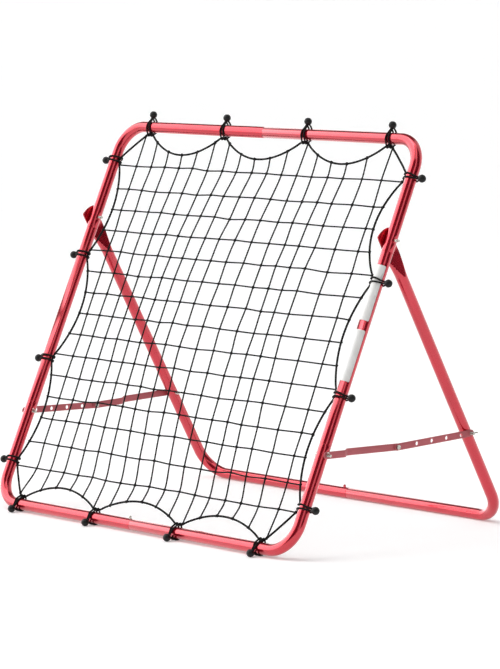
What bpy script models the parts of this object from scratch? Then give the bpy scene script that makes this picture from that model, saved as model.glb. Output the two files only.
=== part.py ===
"""Soccer rebound net: a tilted tube frame with a knotted net, held up by a folding rear frame.

Metres, +Z up, X across the frame, +Y to the rear. The origin is the centre of the footprint on the floor.
"""
import math

import bmesh
import bpy
from mathutils import Matrix, Vector

# Driving dimensions, metres
FRAME_WIDTH = 0.940
FRAME_HEIGHT = 0.9178
FRAME_TILT = math.radians(25.05)
TUBE_RADIUS = 0.0127
TUBE_WALL = 0.0012
BEND_RADIUS = 0.0635
OPEN_ANGLE = math.radians(55.24)
FRONT_BAR_Z = 0.0162
FRONT_BAR_Y = -0.3190
GAP = 0.0003
TUBE_SIDES = 12
HOLE_SIDES = 8
TUBE_FLAT = TUBE_RADIUS * math.cos(math.pi / TUBE_SIDES)

# Tube joints: where one tube ends and the next begins
SPIGOT_LENGTH = 0.045
SPIGOT_RADIUS = TUBE_RADIUS - TUBE_WALL - 0.00035
TOP_SEAM_X = -0.0075
BOTTOM_SEAM_X = -0.016
REAR_SEAM_X = -0.010
SIDE_SEAMS = (0.236, 0.663)

# Bolts, as distances up the side tube or down the leg, and how far their wing nuts are turned, in degrees
PIVOT_UP = 0.6906
STAY_UP = 0.2150
STAY_DOWN = 0.4976
WING_TURNS = {"pivot": 115, "stay_front": 70, "stay_rear": 70}
BOLT_RADIUS = 0.0030
BOLT_REACH = 0.0095
HOLE_RADIUS = 0.0035
HEAD_RADIUS = 0.0056
HEAD_HEIGHT = 0.0040
NUT_HEIGHT = 0.0045
ACROSS_FLATS = 0.87

# Wing nut: (x, radius) round its hub, and (reach, low x, high x, half thickness) along each wing
WING_HUB = ((0.0, 0.0058), (0.0030, 0.0057), (0.0080, 0.0045))
WING_SECTIONS = ((0.0040, 0.0010, 0.0068, 0.0011), (0.0072, 0.0016, 0.0095, 0.0010),
                 (0.0100, 0.0042, 0.0122, 0.0009), (0.0112, 0.0062, 0.0112, 0.0008))

# Rear frame: its legs stand a little to the left of the side tubes, so that the pressed ends lie on them
LEG_SHIFT = -0.0145
TONGUE_HALF_WIDTH = 0.0195
TONGUE_HALF_THICKNESS = 0.0014
TONGUE_REACH = 0.0230
TONGUE_CROWN = 0.0035
TONGUE_FLAT_END = 0.026
TONGUE_SQUARENESS = 9.0
PRESS_STEPS = (0.038, 0.050, 0.062, 0.074, 0.086)
ROUND_FROM = 0.095
BORE_FROM = 0.070
BORE_END_HALVES = (0.0085, 0.0050)

# Stays, on the outer sides of the tubes and legs: the elbow's share of the way from the front bolt to the
# rear one, and how far it sags below the line between them
ELBOW_SHARE = {"left": 0.4624, "right": 0.4967}
ELBOW_SAG = 0.0070
BAR_HALF_WIDTH = 0.0075
BAR_THICKNESS = 0.0025
BAR_TIP = 0.0095

# Holes of the perforated bars, from their own bolts, and the joggles of the plain bars: the right one's
# from its bolt, the left one's back from the elbow
PUNCH_FIRST = 0.0303
PUNCH_PITCH = 0.0461
PUNCHES = 4
PUNCH_RADIUS = 0.0045
FRONT_JOGGLE = (0.050, 0.078)
REAR_JOGGLE = (0.106, 0.076)

# Snap buttons in the two floor bars, each with a collar inside the tube and a V of spring strip, (x, z)
BUTTON_RADIUS = 0.0031
BUTTON_PROUD = 0.0060
COLLAR_RADIUS = 0.0042
COLLAR_HEIGHTS = (0.0078, 0.0087)
SPRING_PATH = ((0.006, -0.0085), (-0.016, -0.0085), (-0.0235, -0.0055), (-0.0245, -0.0010), (-0.019, 0.0025),
               (0.004, 0.0067))
SPRING_HALF_THICKNESS = 0.0004
SPRING_HALF_WIDTH = 0.0027
FRONT_BUTTON_X = -0.0235
REAR_BUTTON_X = -0.0250

# Net rows and rope
ROWS = 15
STRING_HALF = 0.0013
ROPE_HALF = 0.0017
HOOK_INSET = 0.0180
HOOK_FLAT = 0.0072
TOP_ROW = 0.8212
END_PITCH = 0.0586
ROW_PITCH = 0.0508

# Net columns: evenly pitched, with the last gaps wider and the foot of the net a little to the right. It is
# pulled to the left in two places, each given as (column, how far, how many columns wide)
COLUMNS = 17
COLUMN_FIRST = -0.390
COLUMN_PITCH = 0.0475
FOOT_SHIFT = 0.009
EDGE_STRETCH = 0.0066
EVEN_COLUMNS = 14
PULLS = ((7.5, 0.048, 4.5), (13.8, 0.029, 1.6))
TOP_LEAN = -0.0040
BOTTOM_LEAN = -0.0095
TIE_CLEARANCE = 0.0117

# Ties: the net's rope hooks onto these, as places along the frame's bars
TOP_TIES = (-0.380, -0.134, 0.1235, 0.378)
BOTTOM_TIES = (-0.395, -0.143, 0.122, 0.378)
SIDE_TIES = (0.0985, 0.3440, 0.5980, 0.8335)
TIE_CORD_RADIUS = 0.0019
TIE_LOOP_RADIUS = 0.0157
TIE_LOOP_SPREAD = 0.0042
TIE_HOOK_REACH = 0.0229
BALL_RADIUS = 0.0085
BALL_REACH = 0.0310
TOP_BALL_REACH = 0.0285
TOP_BALL_ANGLE = math.radians(20.0)
FLOOR_BALL_REACH = 0.0268
FLOOR_BALL_ANGLE = math.radians(46.0)

# Scallop depths of the net's rope between ties
TOP_SAG = 0.046
BOTTOM_SAG = 0.034
LEFT_SAGS = (0.029, 0.038, 0.030)
RIGHT_SAGS = (0.028, 0.031, 0.043)

# Blank label wraps on the front of the right side tube
LABELS = {"label_upper": (0.5085, 0.6315), "label_lower": (0.3740, 0.4875)}
LABEL_THICKNESS = 0.00025
LABEL_FLATS = 4

RED = ("red_paint", (0.55, 0.012, 0.035, 1.0), 0.25, 0.0)
RED_FLAT = ("red_stay_paint", (0.48, 0.06, 0.075, 1.0), 0.45, 0.0)
ZINC = ("zinc", (0.72, 0.72, 0.70, 1.0), 0.3, 1.0)
BLACK_CORD = ("black_cord", (0.012, 0.012, 0.012, 1.0), 0.75, 0.0)
BLACK_BALL = ("black_plastic", (0.01, 0.01, 0.01, 1.0), 0.4, 0.0)
WHITE = ("white_label", (0.86, 0.86, 0.85, 1.0), 0.4, 0.0)


def clear_scene():
    for old in list(bpy.data.objects):
        bpy.data.objects.remove(old, do_unlink=True)


def material(recipe):
    name, colour, roughness, metallic = recipe
    found = bpy.data.materials.get(name)
    if found:
        return found
    made = bpy.data.materials.new(name)
    made.use_nodes = True
    shader = made.node_tree.nodes["Principled BSDF"]
    shader.inputs["Base Color"].default_value = colour
    shader.inputs["Roughness"].default_value = roughness
    shader.inputs["Metallic"].default_value = metallic
    made.diffuse_color = colour
    return made


def place(obj, parent=None, location=(0, 0, 0), rotation=(0, 0, 0)):
    bpy.context.scene.collection.objects.link(obj)
    obj.location = location
    obj.rotation_euler = rotation
    obj.parent = parent
    return obj


def empty(name, parent=None, location=(0, 0, 0), rotation=(0, 0, 0)):
    return place(bpy.data.objects.new(name, None), parent, location, rotation)


def mesh_from(name, bm, recipe, smooth_angle=40):
    bmesh.ops.recalc_face_normals(bm, faces=bm.faces)
    mesh = bpy.data.meshes.new(name)
    bm.to_mesh(mesh)
    bm.free()
    mesh.materials.append(material(recipe))
    mesh.shade_smooth()
    mesh.set_sharp_from_angle(angle=math.radians(smooth_angle))
    return mesh


def node(name, mesh, parent=None, location=(0, 0, 0), rotation=(0, 0, 0)):
    return place(bpy.data.objects.new(name, mesh), parent, location, rotation)


def skin(bm, rings):
    """Join each closed ring of vertices to the next."""
    for first, second in zip(rings, rings[1:]):
        count = len(first)
        for i in range(count):
            j = (i + 1) % count
            bm.faces.new((first[i], first[j], second[j], second[i]))


def add_rings(bm, rings):
    made = [[bm.verts.new(point) for point in ring] for ring in rings]
    skin(bm, made)
    return made


def loft(rings):
    """A closed solid through rings of points, capped at both ends."""
    bm = bmesh.new()
    made = add_rings(bm, rings)
    bm.faces.new(made[0])
    bm.faces.new(made[-1])
    return bm


def lathe(profile, sides=12):
    """A solid turned about X from (x, radius) pairs."""
    rings = []
    for x, radius in profile:
        angles = [math.tau * (i + 0.5) / sides for i in range(sides)]
        rings.append([(x, radius * math.cos(a), radius * math.sin(a)) for a in angles])
    return loft(rings)


def bore_cutter(name, parent, location, radius, length, rotation=(0, 0, 0)):
    """A hidden cylinder along X that drills a round hole."""
    bm = lathe([(-length / 2, radius), (length / 2, radius)], HOLE_SIDES)
    cutter = node(name, mesh_from(name, bm, ZINC), parent, location, rotation)
    cutter.hide_render = True
    cutter.display_type = "WIRE"
    return cutter


def cut(obj, cutter):
    modifier = obj.modifiers.new("Hole " + cutter.name, "BOOLEAN")
    modifier.operation = "DIFFERENCE"
    modifier.solver = "EXACT"
    modifier.object = cutter


def route(start, corner, end, steps=6):
    """Stations (point, heading) of a tube that bends once, from start round the corner to end."""
    start, corner, end = Vector(start), Vector(corner), Vector(end)
    inward = (corner - start).normalized()
    outward = (end - corner).normalized()
    centre = corner - inward * BEND_RADIUS + outward * BEND_RADIUS
    stations = [(start, inward)]
    for i in range(steps + 1):
        angle = math.pi / 2 * i / steps
        heading = inward * math.cos(angle) + outward * math.sin(angle)
        spoke = inward * math.sin(angle) - outward * math.cos(angle)
        stations.append((centre + spoke * BEND_RADIUS, heading))
    stations.append((end, outward))
    return stations


def section(station, half_across, half_up, phase=0.5, power=2.0, crown=0.0):
    """Ring of a tube at a station in the XY plane; a high power squares it and a crown bulges it back."""
    point, heading = station
    across = Vector((-heading.y, heading.x))
    ring = []
    for i in range(TUBE_SIDES):
        angle = math.tau * (i + phase) / TUBE_SIDES
        c, s = math.cos(angle), math.sin(angle)
        a = half_across * math.copysign(abs(c) ** (2 / power), c)
        b = half_up * math.copysign(abs(s) ** (2 / power), s)
        spot = point + across * a - heading * crown * (1 - (b / half_up) ** 2)
        ring.append((spot.x, spot.y, b))
    return ring


def moved(station, distance):
    point, heading = station
    return point + heading * distance, heading


def open_tube(outer, inner):
    """A hollow tube, open at both ends, from outer and inner rings."""
    bm = bmesh.new()
    outside = add_rings(bm, outer)
    inside = add_rings(bm, inner)
    skin(bm, [outside[0], inside[0]])
    skin(bm, [outside[-1], inside[-1]])
    return bm


def tube_rings(stations, phase, spigot):
    """Outer and inner rings; a spigot is a swaged end that fits the next tube's bore."""
    bore = TUBE_RADIUS - TUBE_WALL
    outer = [section(s, TUBE_RADIUS, TUBE_RADIUS, phase) for s in stations]
    inner = [section(s, bore, bore, phase) for s in stations]
    if spigot:
        end = stations[-1]
        thin = SPIGOT_RADIUS - TUBE_WALL
        inner[-1] = section(moved(end, -0.004), bore, bore, phase)
        outer.append(section(end, SPIGOT_RADIUS, SPIGOT_RADIUS, phase))
        inner.append(section(end, thin, thin, phase))
        outer.append(section(moved(end, SPIGOT_LENGTH), SPIGOT_RADIUS, SPIGOT_RADIUS, phase))
        inner.append(section(moved(end, SPIGOT_LENGTH), thin, thin, phase))
    return outer, inner


def frame_corner(name, parent, start, corner, end, spigot):
    """One bent tube of the front frame, from its side seam round a corner to its middle seam."""
    outer, inner = tube_rings(route(start, corner, end), 0.5, spigot)
    return node(name, mesh_from(name, open_tube(outer, inner), RED), parent)


def frame_side(name, parent, x):
    """A straight side tube with a spigot at both ends."""
    low, high = SIDE_SEAMS[0] + GAP / 2, SIDE_SEAMS[1] - GAP / 2
    up = Vector((0, 1))
    outer, inner = tube_rings([(Vector((x, (low + high) / 2)), up), (Vector((x, high)), up)], 0.5, True)
    down = Vector((0, -1))
    middle = (Vector((x, (low + high) / 2)), down)
    outer_low, inner_low = tube_rings([middle, (Vector((x, low)), down)], 0.5, True)
    outer_low = [mirror_ring(ring) for ring in outer_low[:0:-1]]
    inner_low = [mirror_ring(ring) for ring in inner_low[:0:-1]]
    bm = open_tube(outer_low + outer[1:], inner_low + inner[1:])
    return node(name, mesh_from(name, bm, RED), parent)


def mirror_ring(ring):
    """Reorder a ring made while heading the other way, so that it matches its neighbours."""
    half = TUBE_SIDES // 2
    return [ring[(half - 1 - i) % TUBE_SIDES] for i in range(TUBE_SIDES)]


def build_front_tubes(parent):
    half = FRAME_WIDTH / 2
    low, high = SIDE_SEAMS
    top, split = FRAME_HEIGHT, GAP / 2
    tubes = {
        "frame_top_left": frame_corner("frame_top_left", parent, (-half, high + split), (-half, top),
                                       (TOP_SEAM_X - split, top), True),
        "frame_top_right": frame_corner("frame_top_right", parent, (half, high + split), (half, top),
                                        (TOP_SEAM_X + split, top), False),
        "frame_bottom_left": frame_corner("frame_bottom_left", parent, (-half, low - split), (-half, 0),
                                          (BOTTOM_SEAM_X - split, 0), False),
        "frame_bottom_right": frame_corner("frame_bottom_right", parent, (half, low - split), (half, 0),
                                           (BOTTOM_SEAM_X + split, 0), True),
        "frame_side_left": frame_side("frame_side_left", parent, -half),
        "frame_side_right": frame_side("frame_side_right", parent, half),
    }
    for side, x in (("left", -half), ("right", half)):
        pivot = bore_cutter("pivot_hole_" + side, parent, (x, PIVOT_UP, 0), HOLE_RADIUS, 0.04)
        stay = bore_cutter("stay_hole_" + side, parent, (x, STAY_UP, 0), HOLE_RADIUS, 0.04)
        cut(tubes["frame_top_" + side], pivot)
        cut(tubes["frame_side_" + side], pivot)
        cut(tubes["frame_side_" + side], stay)
        cut(tubes["frame_bottom_" + side], stay)
    return tubes


def leg_shape(down):
    """Half width, half thickness and squareness of the leg at a distance below its pivot."""
    t = min(max((down - TONGUE_FLAT_END) / (ROUND_FROM - TONGUE_FLAT_END), 0.0), 1.0)
    blend = t * t * (3 - 2 * t)
    half_width = TONGUE_HALF_WIDTH + (TUBE_RADIUS - TONGUE_HALF_WIDTH) * blend
    half_depth = TONGUE_HALF_THICKNESS + (TUBE_RADIUS - TONGUE_HALF_THICKNESS) * blend
    return half_width, half_depth, TONGUE_SQUARENESS - (TONGUE_SQUARENESS - 2.0) * min(1.0, 1.6 * blend)


def rear_leg(name, parent, x, seam_x, length, phase, spigot):
    """A leg with a pressed flat tongue at its pivot, bent at the floor into half of the base bar."""
    down = Vector((0, 1))
    heads = [-TONGUE_REACH, TONGUE_FLAT_END, *PRESS_STEPS, ROUND_FROM]
    outer = []
    for head in heads:
        half_width, half_depth, power = leg_shape(head)
        crown = TONGUE_CROWN if head < 0 else 0.0
        outer.append(section((Vector((x, head)), down), half_depth, half_width, 0.5, power, crown))
    stations = route((x, ROUND_FROM), (x, length), (seam_x, length))[1:]
    round_outer, round_inner = tube_rings(stations, phase, spigot)
    bore = TUBE_RADIUS - TUBE_WALL
    inner = [section((Vector((x, BORE_FROM)), down), *BORE_END_HALVES, phase),
             section((Vector((x, ROUND_FROM + 0.010)), down), bore, bore, phase)]
    bm = bmesh.new()
    outside = add_rings(bm, outer + round_outer)
    inside = add_rings(bm, inner + round_inner)
    skin(bm, [outside[-1], inside[-1]])
    bm.faces.new(inside[0])
    close_tongue(bm, outside[0])
    return node(name, mesh_from(name, bm, RED), parent)


def close_tongue(bm, ring):
    """Close the thin crowned end of the tongue with a strip of faces from edge to edge."""
    near_side = [2, 1, 0, 11, 10, 9]
    far_side = [3, 4, 5, 6, 7, 8]
    for i in range(len(near_side) - 1):
        bm.faces.new((ring[near_side[i]], ring[near_side[i + 1]], ring[far_side[i + 1]], ring[far_side[i]]))


def bar_rings(length, near, far, joggle):
    """Rings of a flat bar along +Y with round ends; a plain one steps in X over its joggle."""
    arc = [math.radians(a) for a in (22.5, 45.0, 67.5, 90.0)]
    centre = BAR_HALF_WIDTH - BAR_TIP
    tip = [(centre - BAR_HALF_WIDTH * math.cos(a), BAR_HALF_WIDTH * math.sin(a)) for a in arc]
    middle = [(y, BAR_HALF_WIDTH) for y in joggle]
    deep = BAR_THICKNESS / 2
    rings = []
    for y, half in tip + middle + [(length - y, half) for y, half in reversed(tip)]:
        x = far if joggle and y > joggle[0] else near
        rings.append([(x - deep, y, -half), (x + deep, y, -half), (x + deep, y, half), (x - deep, y, half)])
    return rings


def stay_bar(name, parent, length, near, far, joggle=(), punched=()):
    """A stay bar whose empty sits on its bolt, with the elbow hole at the bar's other end."""
    bar = node(name, mesh_from(name, loft(bar_rings(length, near, far, joggle)), RED_FLAT), parent)
    holes = [(near, 0.0, HOLE_RADIUS), (far, length, HOLE_RADIUS)]
    holes += [(near, y, PUNCH_RADIUS) for y in punched]
    for number, (x, y, radius) in enumerate(holes):
        cut(bar, bore_cutter(f"{name}_hole_{number}", parent, (x, y, 0), radius, 0.006))
    return bar


def hexagon_and_shank(profile):
    """A turned solid along X whose wide rings are hexagons and whose other rings are the thread."""
    rings = []
    for x, radius in profile:
        ring = []
        for i in range(12):
            angle = math.tau * (i + 0.5) / 12
            reach = radius * ACROSS_FLATS if radius > BOLT_RADIUS and i % 2 else radius
            ring.append((x, reach * math.cos(angle), reach * math.sin(angle)))
        rings.append(ring)
    return loft(rings)


def bolt(name, parent, location, grip_low, grip_high, rotation=(0, 0, 0)):
    """A hexagon bolt along X: its head is below the low end of its grip and its thread ends at the high."""
    head = grip_low - HEAD_HEIGHT
    bm = hexagon_and_shank([(head, HEAD_RADIUS), (grip_low, HEAD_RADIUS), (grip_low, BOLT_RADIUS),
                            (grip_high, BOLT_RADIUS)])
    return node(name, mesh_from(name, bm, ZINC, 25), parent, location, rotation)


def fused(name, solids, recipe, smooth_angle=40):
    """One mesh from overlapping solids, joined by Boolean unions."""
    pieces = [node(f"{name}_{i}", mesh_from(f"{name}_{i}", bm, recipe)) for i, bm in enumerate(solids)]
    for piece in pieces[1:]:
        join = pieces[0].modifiers.new("Join", "BOOLEAN")
        join.operation = "UNION"
        join.solver = "EXACT"
        join.object = piece
    bpy.context.view_layer.update()
    whole = pieces[0].evaluated_get(bpy.context.evaluated_depsgraph_get())
    mesh = bpy.data.meshes.new_from_object(whole)
    mesh.name = name
    for piece in pieces:
        bpy.data.objects.remove(piece, do_unlink=True)
    mesh.shade_smooth()
    mesh.set_sharp_from_angle(angle=math.radians(smooth_angle))
    return mesh


def drilled(profile, bore, sides=8):
    """Bmesh of a turned collar along X with a round hole through it."""
    bm = bmesh.new()
    rings = []
    for x, radius in profile + [(profile[-1][0], bore), (profile[0][0], bore)]:
        angles = [math.tau * (i + 0.5) / sides for i in range(sides)]
        rings.append([bm.verts.new((x, radius * math.cos(a), radius * math.sin(a))) for a in angles])
    skin(bm, rings + rings[:1])
    return bm


def wing_nut_mesh():
    """A wing nut along X with its face at x = 0 and its wings up and down in Y."""
    solids = [drilled(list(WING_HUB), HOLE_RADIUS - 0.0001)]
    for side in (-1, 1):
        rings = []
        for reach, low, high, half in WING_SECTIONS:
            rings.append([(low, side * reach, -half), (high, side * reach, -half),
                          (high, side * reach, half), (low, side * reach, half)])
        solids.append(loft(rings))
    return fused("wing_nut", solids, ZINC, 30)


def bolt_and_wing_nut(kind, side, parent, centre, grip, wing_nut):
    """A bolt along X with its head at the low end of its grip and its wing nut at the high end."""
    low, high = grip
    x, y, z = centre
    bolt(f"{kind}_bolt_{side}", parent, centre, low, high + BOLT_REACH)
    turn = math.radians(WING_TURNS[kind])
    node(f"{kind}_wing_nut_{side}", wing_nut, parent, (x + high, y, z), (turn, 0, 0))


def clamp_grip(side, shift=0.0):
    """Low and high ends of a stay bolt's grip through a tube and the bar on its outer side."""
    bare = TUBE_RADIUS + GAP
    barred = TUBE_FLAT + BAR_THICKNESS + 2 * GAP
    if side == "left":
        return shift - barred, shift + bare
    return shift - bare, shift + barred


def hexagon_nut(name, parent, location, stub):
    """A hexagon nut along -X with the bolt's last thread as a stub that reaches into the bar's hole."""
    bm = hexagon_and_shank([(stub, BOLT_RADIUS), (0.0, BOLT_RADIUS), (0.0, HEAD_RADIUS),
                            (-NUT_HEIGHT, HEAD_RADIUS)])
    return node(name, mesh_from(name, bm, ZINC, 25), parent, location)


def spot_between(value, low, high):
    return (value - low) / (high - low)


def sagged(value, hooks, sags):
    """How far the rope hangs off the line of its hooks, at a place along that line."""
    for number, (low, high) in enumerate(zip(hooks, hooks[1:])):
        if low <= value <= high:
            t = min(max(spot_between(value, low + HOOK_FLAT, high - HOOK_FLAT), 0.0), 1.0)
            return sags[number] * 4 * t * (1 - t)
    return 0.0


class Rope:
    """The net's edge rope: four rows of hooks, scallops between them and straight cuts at the corners."""

    def __init__(self):
        half = FRAME_WIDTH / 2 - HOOK_INSET
        self.left, self.right = -half, half
        self.top, self.bottom = FRAME_HEIGHT - HOOK_INSET, HOOK_INSET

    def cut_across(self, x, hook, side, side_hook):
        """Height of the corner's straight cut at x, from the last top or bottom hook to the side's."""
        hook_x, hook_y = hook
        return hook_y + (side_hook - hook_y) * spot_between(x, hook_x, side)

    def cut_up(self, y, hook, side, side_hook):
        """Reach of the same cut at a height y."""
        hook_x, hook_y = hook
        return hook_x + (side - hook_x) * spot_between(y, hook_y, side_hook)

    def top_at(self, x):
        first, last = TOP_TIES[0] - HOOK_FLAT, TOP_TIES[-1] + HOOK_FLAT
        side_hook = SIDE_TIES[-1] + HOOK_FLAT
        if x < first:
            return self.cut_across(x, (first, self.top), self.left, side_hook)
        if x > last:
            return self.cut_across(x, (last, self.top), self.right, side_hook)
        return self.top - sagged(x, TOP_TIES, (TOP_SAG,) * 3)

    def bottom_at(self, x):
        first, last = BOTTOM_TIES[0] - HOOK_FLAT, BOTTOM_TIES[-1] + HOOK_FLAT
        side_hook = SIDE_TIES[0] - HOOK_FLAT
        if x < first:
            return self.cut_across(x, (first, self.bottom), self.left, side_hook)
        if x > last:
            return self.cut_across(x, (last, self.bottom), self.right, side_hook)
        return self.bottom + sagged(x, BOTTOM_TIES, (BOTTOM_SAG,) * 3)

    def left_at(self, y):
        side_hook = SIDE_TIES[0] - HOOK_FLAT
        if y < side_hook:
            return self.cut_up(y, (BOTTOM_TIES[0] - HOOK_FLAT, self.bottom), self.left, side_hook)
        return self.left + sagged(y, SIDE_TIES, LEFT_SAGS)

    def right_at(self, y):
        side_hook = SIDE_TIES[0] - HOOK_FLAT
        if y < side_hook:
            return self.cut_up(y, (BOTTOM_TIES[-1] + HOOK_FLAT, self.bottom), self.right, side_hook)
        return self.right - sagged(y, SIDE_TIES, RIGHT_SAGS)


def row_heights():
    """Heights of the net's rows, top to bottom: closer in the middle than at the ends."""
    heights = [TOP_ROW]
    for row in range(1, ROWS):
        ends = row == 1 or row > ROWS - 3
        heights.append(heights[-1] - (END_PITCH if ends else ROW_PITCH))
    return heights


def column_place(column, down):
    """A column's place along X at a share of the way down the net."""
    beyond = max(0, column - EVEN_COLUMNS)
    x = COLUMN_FIRST + COLUMN_PITCH * column + FOOT_SHIFT * down + EDGE_STRETCH * beyond ** 1.5
    pull = sum(reach * math.exp(-((column - centre) / width) ** 2) for centre, reach, width in PULLS)
    return x - pull * 4 * down * (1 - down)


def column_end(column, down, lean, ties):
    """Where a column meets the rope: it leans over, and keeps clear of the ties."""
    if column == 0:
        return ties[0] - TIE_CLEARANCE
    if column == COLUMNS - 1:
        return ties[-1] + TIE_CLEARANCE
    x = column_place(column, down) + lean
    for tie in ties:
        if abs(x - tie) < TIE_CLEARANCE:
            x = tie + math.copysign(TIE_CLEARANCE, x - tie)
    return x


def block(bm, x, y, along, half, half_depth):
    """Eight corners of a knot: for each of its four sides, the two corners it shows, low and high."""
    ahead = Vector(along).normalized() * half
    inward = Vector((ahead.y, -ahead.x))
    corners = {}
    for name, offset in (("back_in", inward - ahead), ("ahead_in", inward + ahead),
                         ("ahead_out", ahead - inward), ("back_out", -ahead - inward)):
        corners[name] = [bm.verts.new((x + offset.x, y + offset.y, z)) for z in (-half_depth, half_depth)]
    ring = ("back_in", "ahead_in", "ahead_out", "back_out")
    for level in (0, 1):
        bm.faces.new([corners[name][level] for name in ring])
    return corners


def strand(bm, first_a, first_b, second_a, second_b):
    """A string between two knots, from the corner pair of one to the corner pair of the other."""
    bm.faces.new((first_a[1], second_a[1], second_b[1], first_b[1]))
    bm.faces.new((first_a[0], second_a[0], second_b[0], first_b[0]))
    bm.faces.new((first_a[0], second_a[0], second_a[1], first_a[1]))
    bm.faces.new((first_b[0], second_b[0], second_b[1], first_b[1]))


def hook_ends(hooks):
    """The rope runs straight through each tie, between these two places."""
    return [(hook + side * HOOK_FLAT, None) for hook in hooks for side in (-1, 1)]


def rope_stops(rope, heights):
    """Knots of the rope in order round the net: (x, y, what joins there)."""
    tops = [(column_end(c, 0.0, TOP_LEAN, TOP_TIES), ("top", c)) for c in range(COLUMNS)]
    bottoms = [(column_end(c, 1.0, BOTTOM_LEAN, BOTTOM_TIES), ("bottom", c)) for c in range(COLUMNS)]
    top = sorted(tops + hook_ends(TOP_TIES), key=lambda stop: stop[0])
    bottom = sorted(bottoms + hook_ends(BOTTOM_TIES), key=lambda stop: -stop[0])
    right = [(y, ("right", r)) for r, y in enumerate(heights)] + hook_ends(SIDE_TIES)
    right.sort(key=lambda stop: -stop[0])
    left = [(y, ("left", r)) for r, y in enumerate(heights)] + hook_ends(SIDE_TIES)
    left.sort(key=lambda stop: stop[0])
    stops = [(x, rope.top_at(x), joins) for x, joins in top]
    stops += [(rope.right_at(y), y, joins) for y, joins in right]
    stops += [(x, rope.bottom_at(x), joins) for x, joins in bottom]
    stops += [(rope.left_at(y), y, joins) for y, joins in left]
    return stops


def net_mesh():
    bm = bmesh.new()
    heights = row_heights()
    knots = {}
    for column in range(COLUMNS):
        for row in range(ROWS):
            x = column_place(column, row / (ROWS - 1))
            knots[column, row] = block(bm, x, heights[row], (1, 0), STRING_HALF, STRING_HALF)
    for column in range(COLUMNS):
        for row in range(ROWS):
            here = knots[column, row]
            if column + 1 < COLUMNS:
                there = knots[column + 1, row]
                strand(bm, here["ahead_in"], here["ahead_out"], there["back_in"], there["back_out"])
            if row + 1 < ROWS:
                there = knots[column, row + 1]
                strand(bm, here["back_in"], here["ahead_in"], there["back_out"], there["ahead_out"])
    stops = rope_stops(Rope(), heights)
    blocks = []
    for i, (x, y, joins) in enumerate(stops):
        before, after = stops[i - 1], stops[(i + 1) % len(stops)]
        along = (after[0] - before[0], after[1] - before[1])
        blocks.append(block(bm, x, y, along, ROPE_HALF, ROPE_HALF))
    for i, here in enumerate(blocks):
        there = blocks[(i + 1) % len(blocks)]
        strand(bm, here["ahead_in"], here["ahead_out"], there["back_in"], there["back_out"])
        bm.faces.new((here["back_out"][0], here["ahead_out"][0], here["ahead_out"][1], here["back_out"][1]))
        tie_in(bm, here, stops[i][2], knots)
    return mesh_from("net", bm, BLACK_CORD)


def tie_in(bm, here, joins, knots):
    """Join the rope's inner face to the string that ends there, or close it."""
    if joins is None:
        bm.faces.new((here["back_in"][0], here["ahead_in"][0], here["ahead_in"][1], here["back_in"][1]))
        return
    side, number = joins
    if side == "top":
        knot = knots[number, 0]
        strand(bm, here["back_in"], here["ahead_in"], knot["back_out"], knot["ahead_out"])
    elif side == "bottom":
        knot = knots[number, ROWS - 1]
        strand(bm, here["back_in"], here["ahead_in"], knot["ahead_in"], knot["back_in"])
    elif side == "right":
        knot = knots[COLUMNS - 1, number]
        strand(bm, here["back_in"], here["ahead_in"], knot["ahead_out"], knot["ahead_in"])
    else:
        knot = knots[0, number]
        strand(bm, here["back_in"], here["ahead_in"], knot["back_in"], knot["back_out"])


def loop_reach(angle, ball_angle, ball_end):
    """Distance of a tie's cord from the tube's axis: round the tube, out to the ball and round the rope."""
    reach = TIE_LOOP_RADIUS
    for target, distance in ((ball_angle, ball_end), (math.pi, TIE_HOOK_REACH)):
        off = abs((angle - target + math.pi) % math.tau - math.pi)
        spread = math.acos(TIE_LOOP_RADIUS / distance)
        if off < spread:
            reach = max(reach, TIE_LOOP_RADIUS / math.cos(spread - off))
    return reach


def tie_loop(ball_angle, ball_end, shift, steps=12):
    """A closed loop of cord round the tube (axis Y) and the rope at -X, out to the ball."""
    near = round(steps * (math.pi - ball_angle) / math.tau)
    angles = [ball_angle + (math.pi - ball_angle) * i / near for i in range(near)]
    far = steps - near
    angles += [math.pi + (math.pi + ball_angle) * i / far for i in range(far)]
    bm = bmesh.new()
    centres = []
    for angle in angles:
        reach = loop_reach(angle, ball_angle, ball_end)
        nearness = max(0.0, math.cos((angle - ball_angle) / 2)) ** 8
        y = shift * (1 - 0.75 * nearness)
        centres.append(Vector((reach * math.cos(angle), y, reach * math.sin(angle))))
    rings = []
    for i, centre in enumerate(centres):
        heading = (centres[(i + 1) % steps] - centres[i - 1]).normalized()
        side = Vector((0, 1, 0))
        out = heading.cross(side).normalized()
        ring = []
        for k in range(4):
            turn = math.tau * (k + 0.5) / 4
            spoke = side * math.cos(turn) + out * math.sin(turn)
            ring.append(bm.verts.new(centre + TIE_CORD_RADIUS * spoke))
        rings.append(ring)
    skin(bm, rings + rings[:1])
    return bm


def ball(ball_angle, reach):
    """The tie's ball, a low sphere whose axis runs along the tube."""
    bm = bmesh.new()
    centre = Vector((reach * math.cos(ball_angle), 0, reach * math.sin(ball_angle)))
    place_at = Matrix.Translation(centre) @ Matrix.Rotation(math.radians(90), 4, "X")
    bmesh.ops.create_uvsphere(bm, u_segments=8, v_segments=5, radius=BALL_RADIUS, matrix=place_at)
    return bm


def tie_mesh(name, ball_angle, reach):
    end = reach - 0.6 * BALL_RADIUS
    loops = [tie_loop(ball_angle, end, side * TIE_LOOP_SPREAD) for side in (-1, 1)]
    return fused(name, [ball(ball_angle, reach)] + loops, BLACK_BALL, 35)


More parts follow.
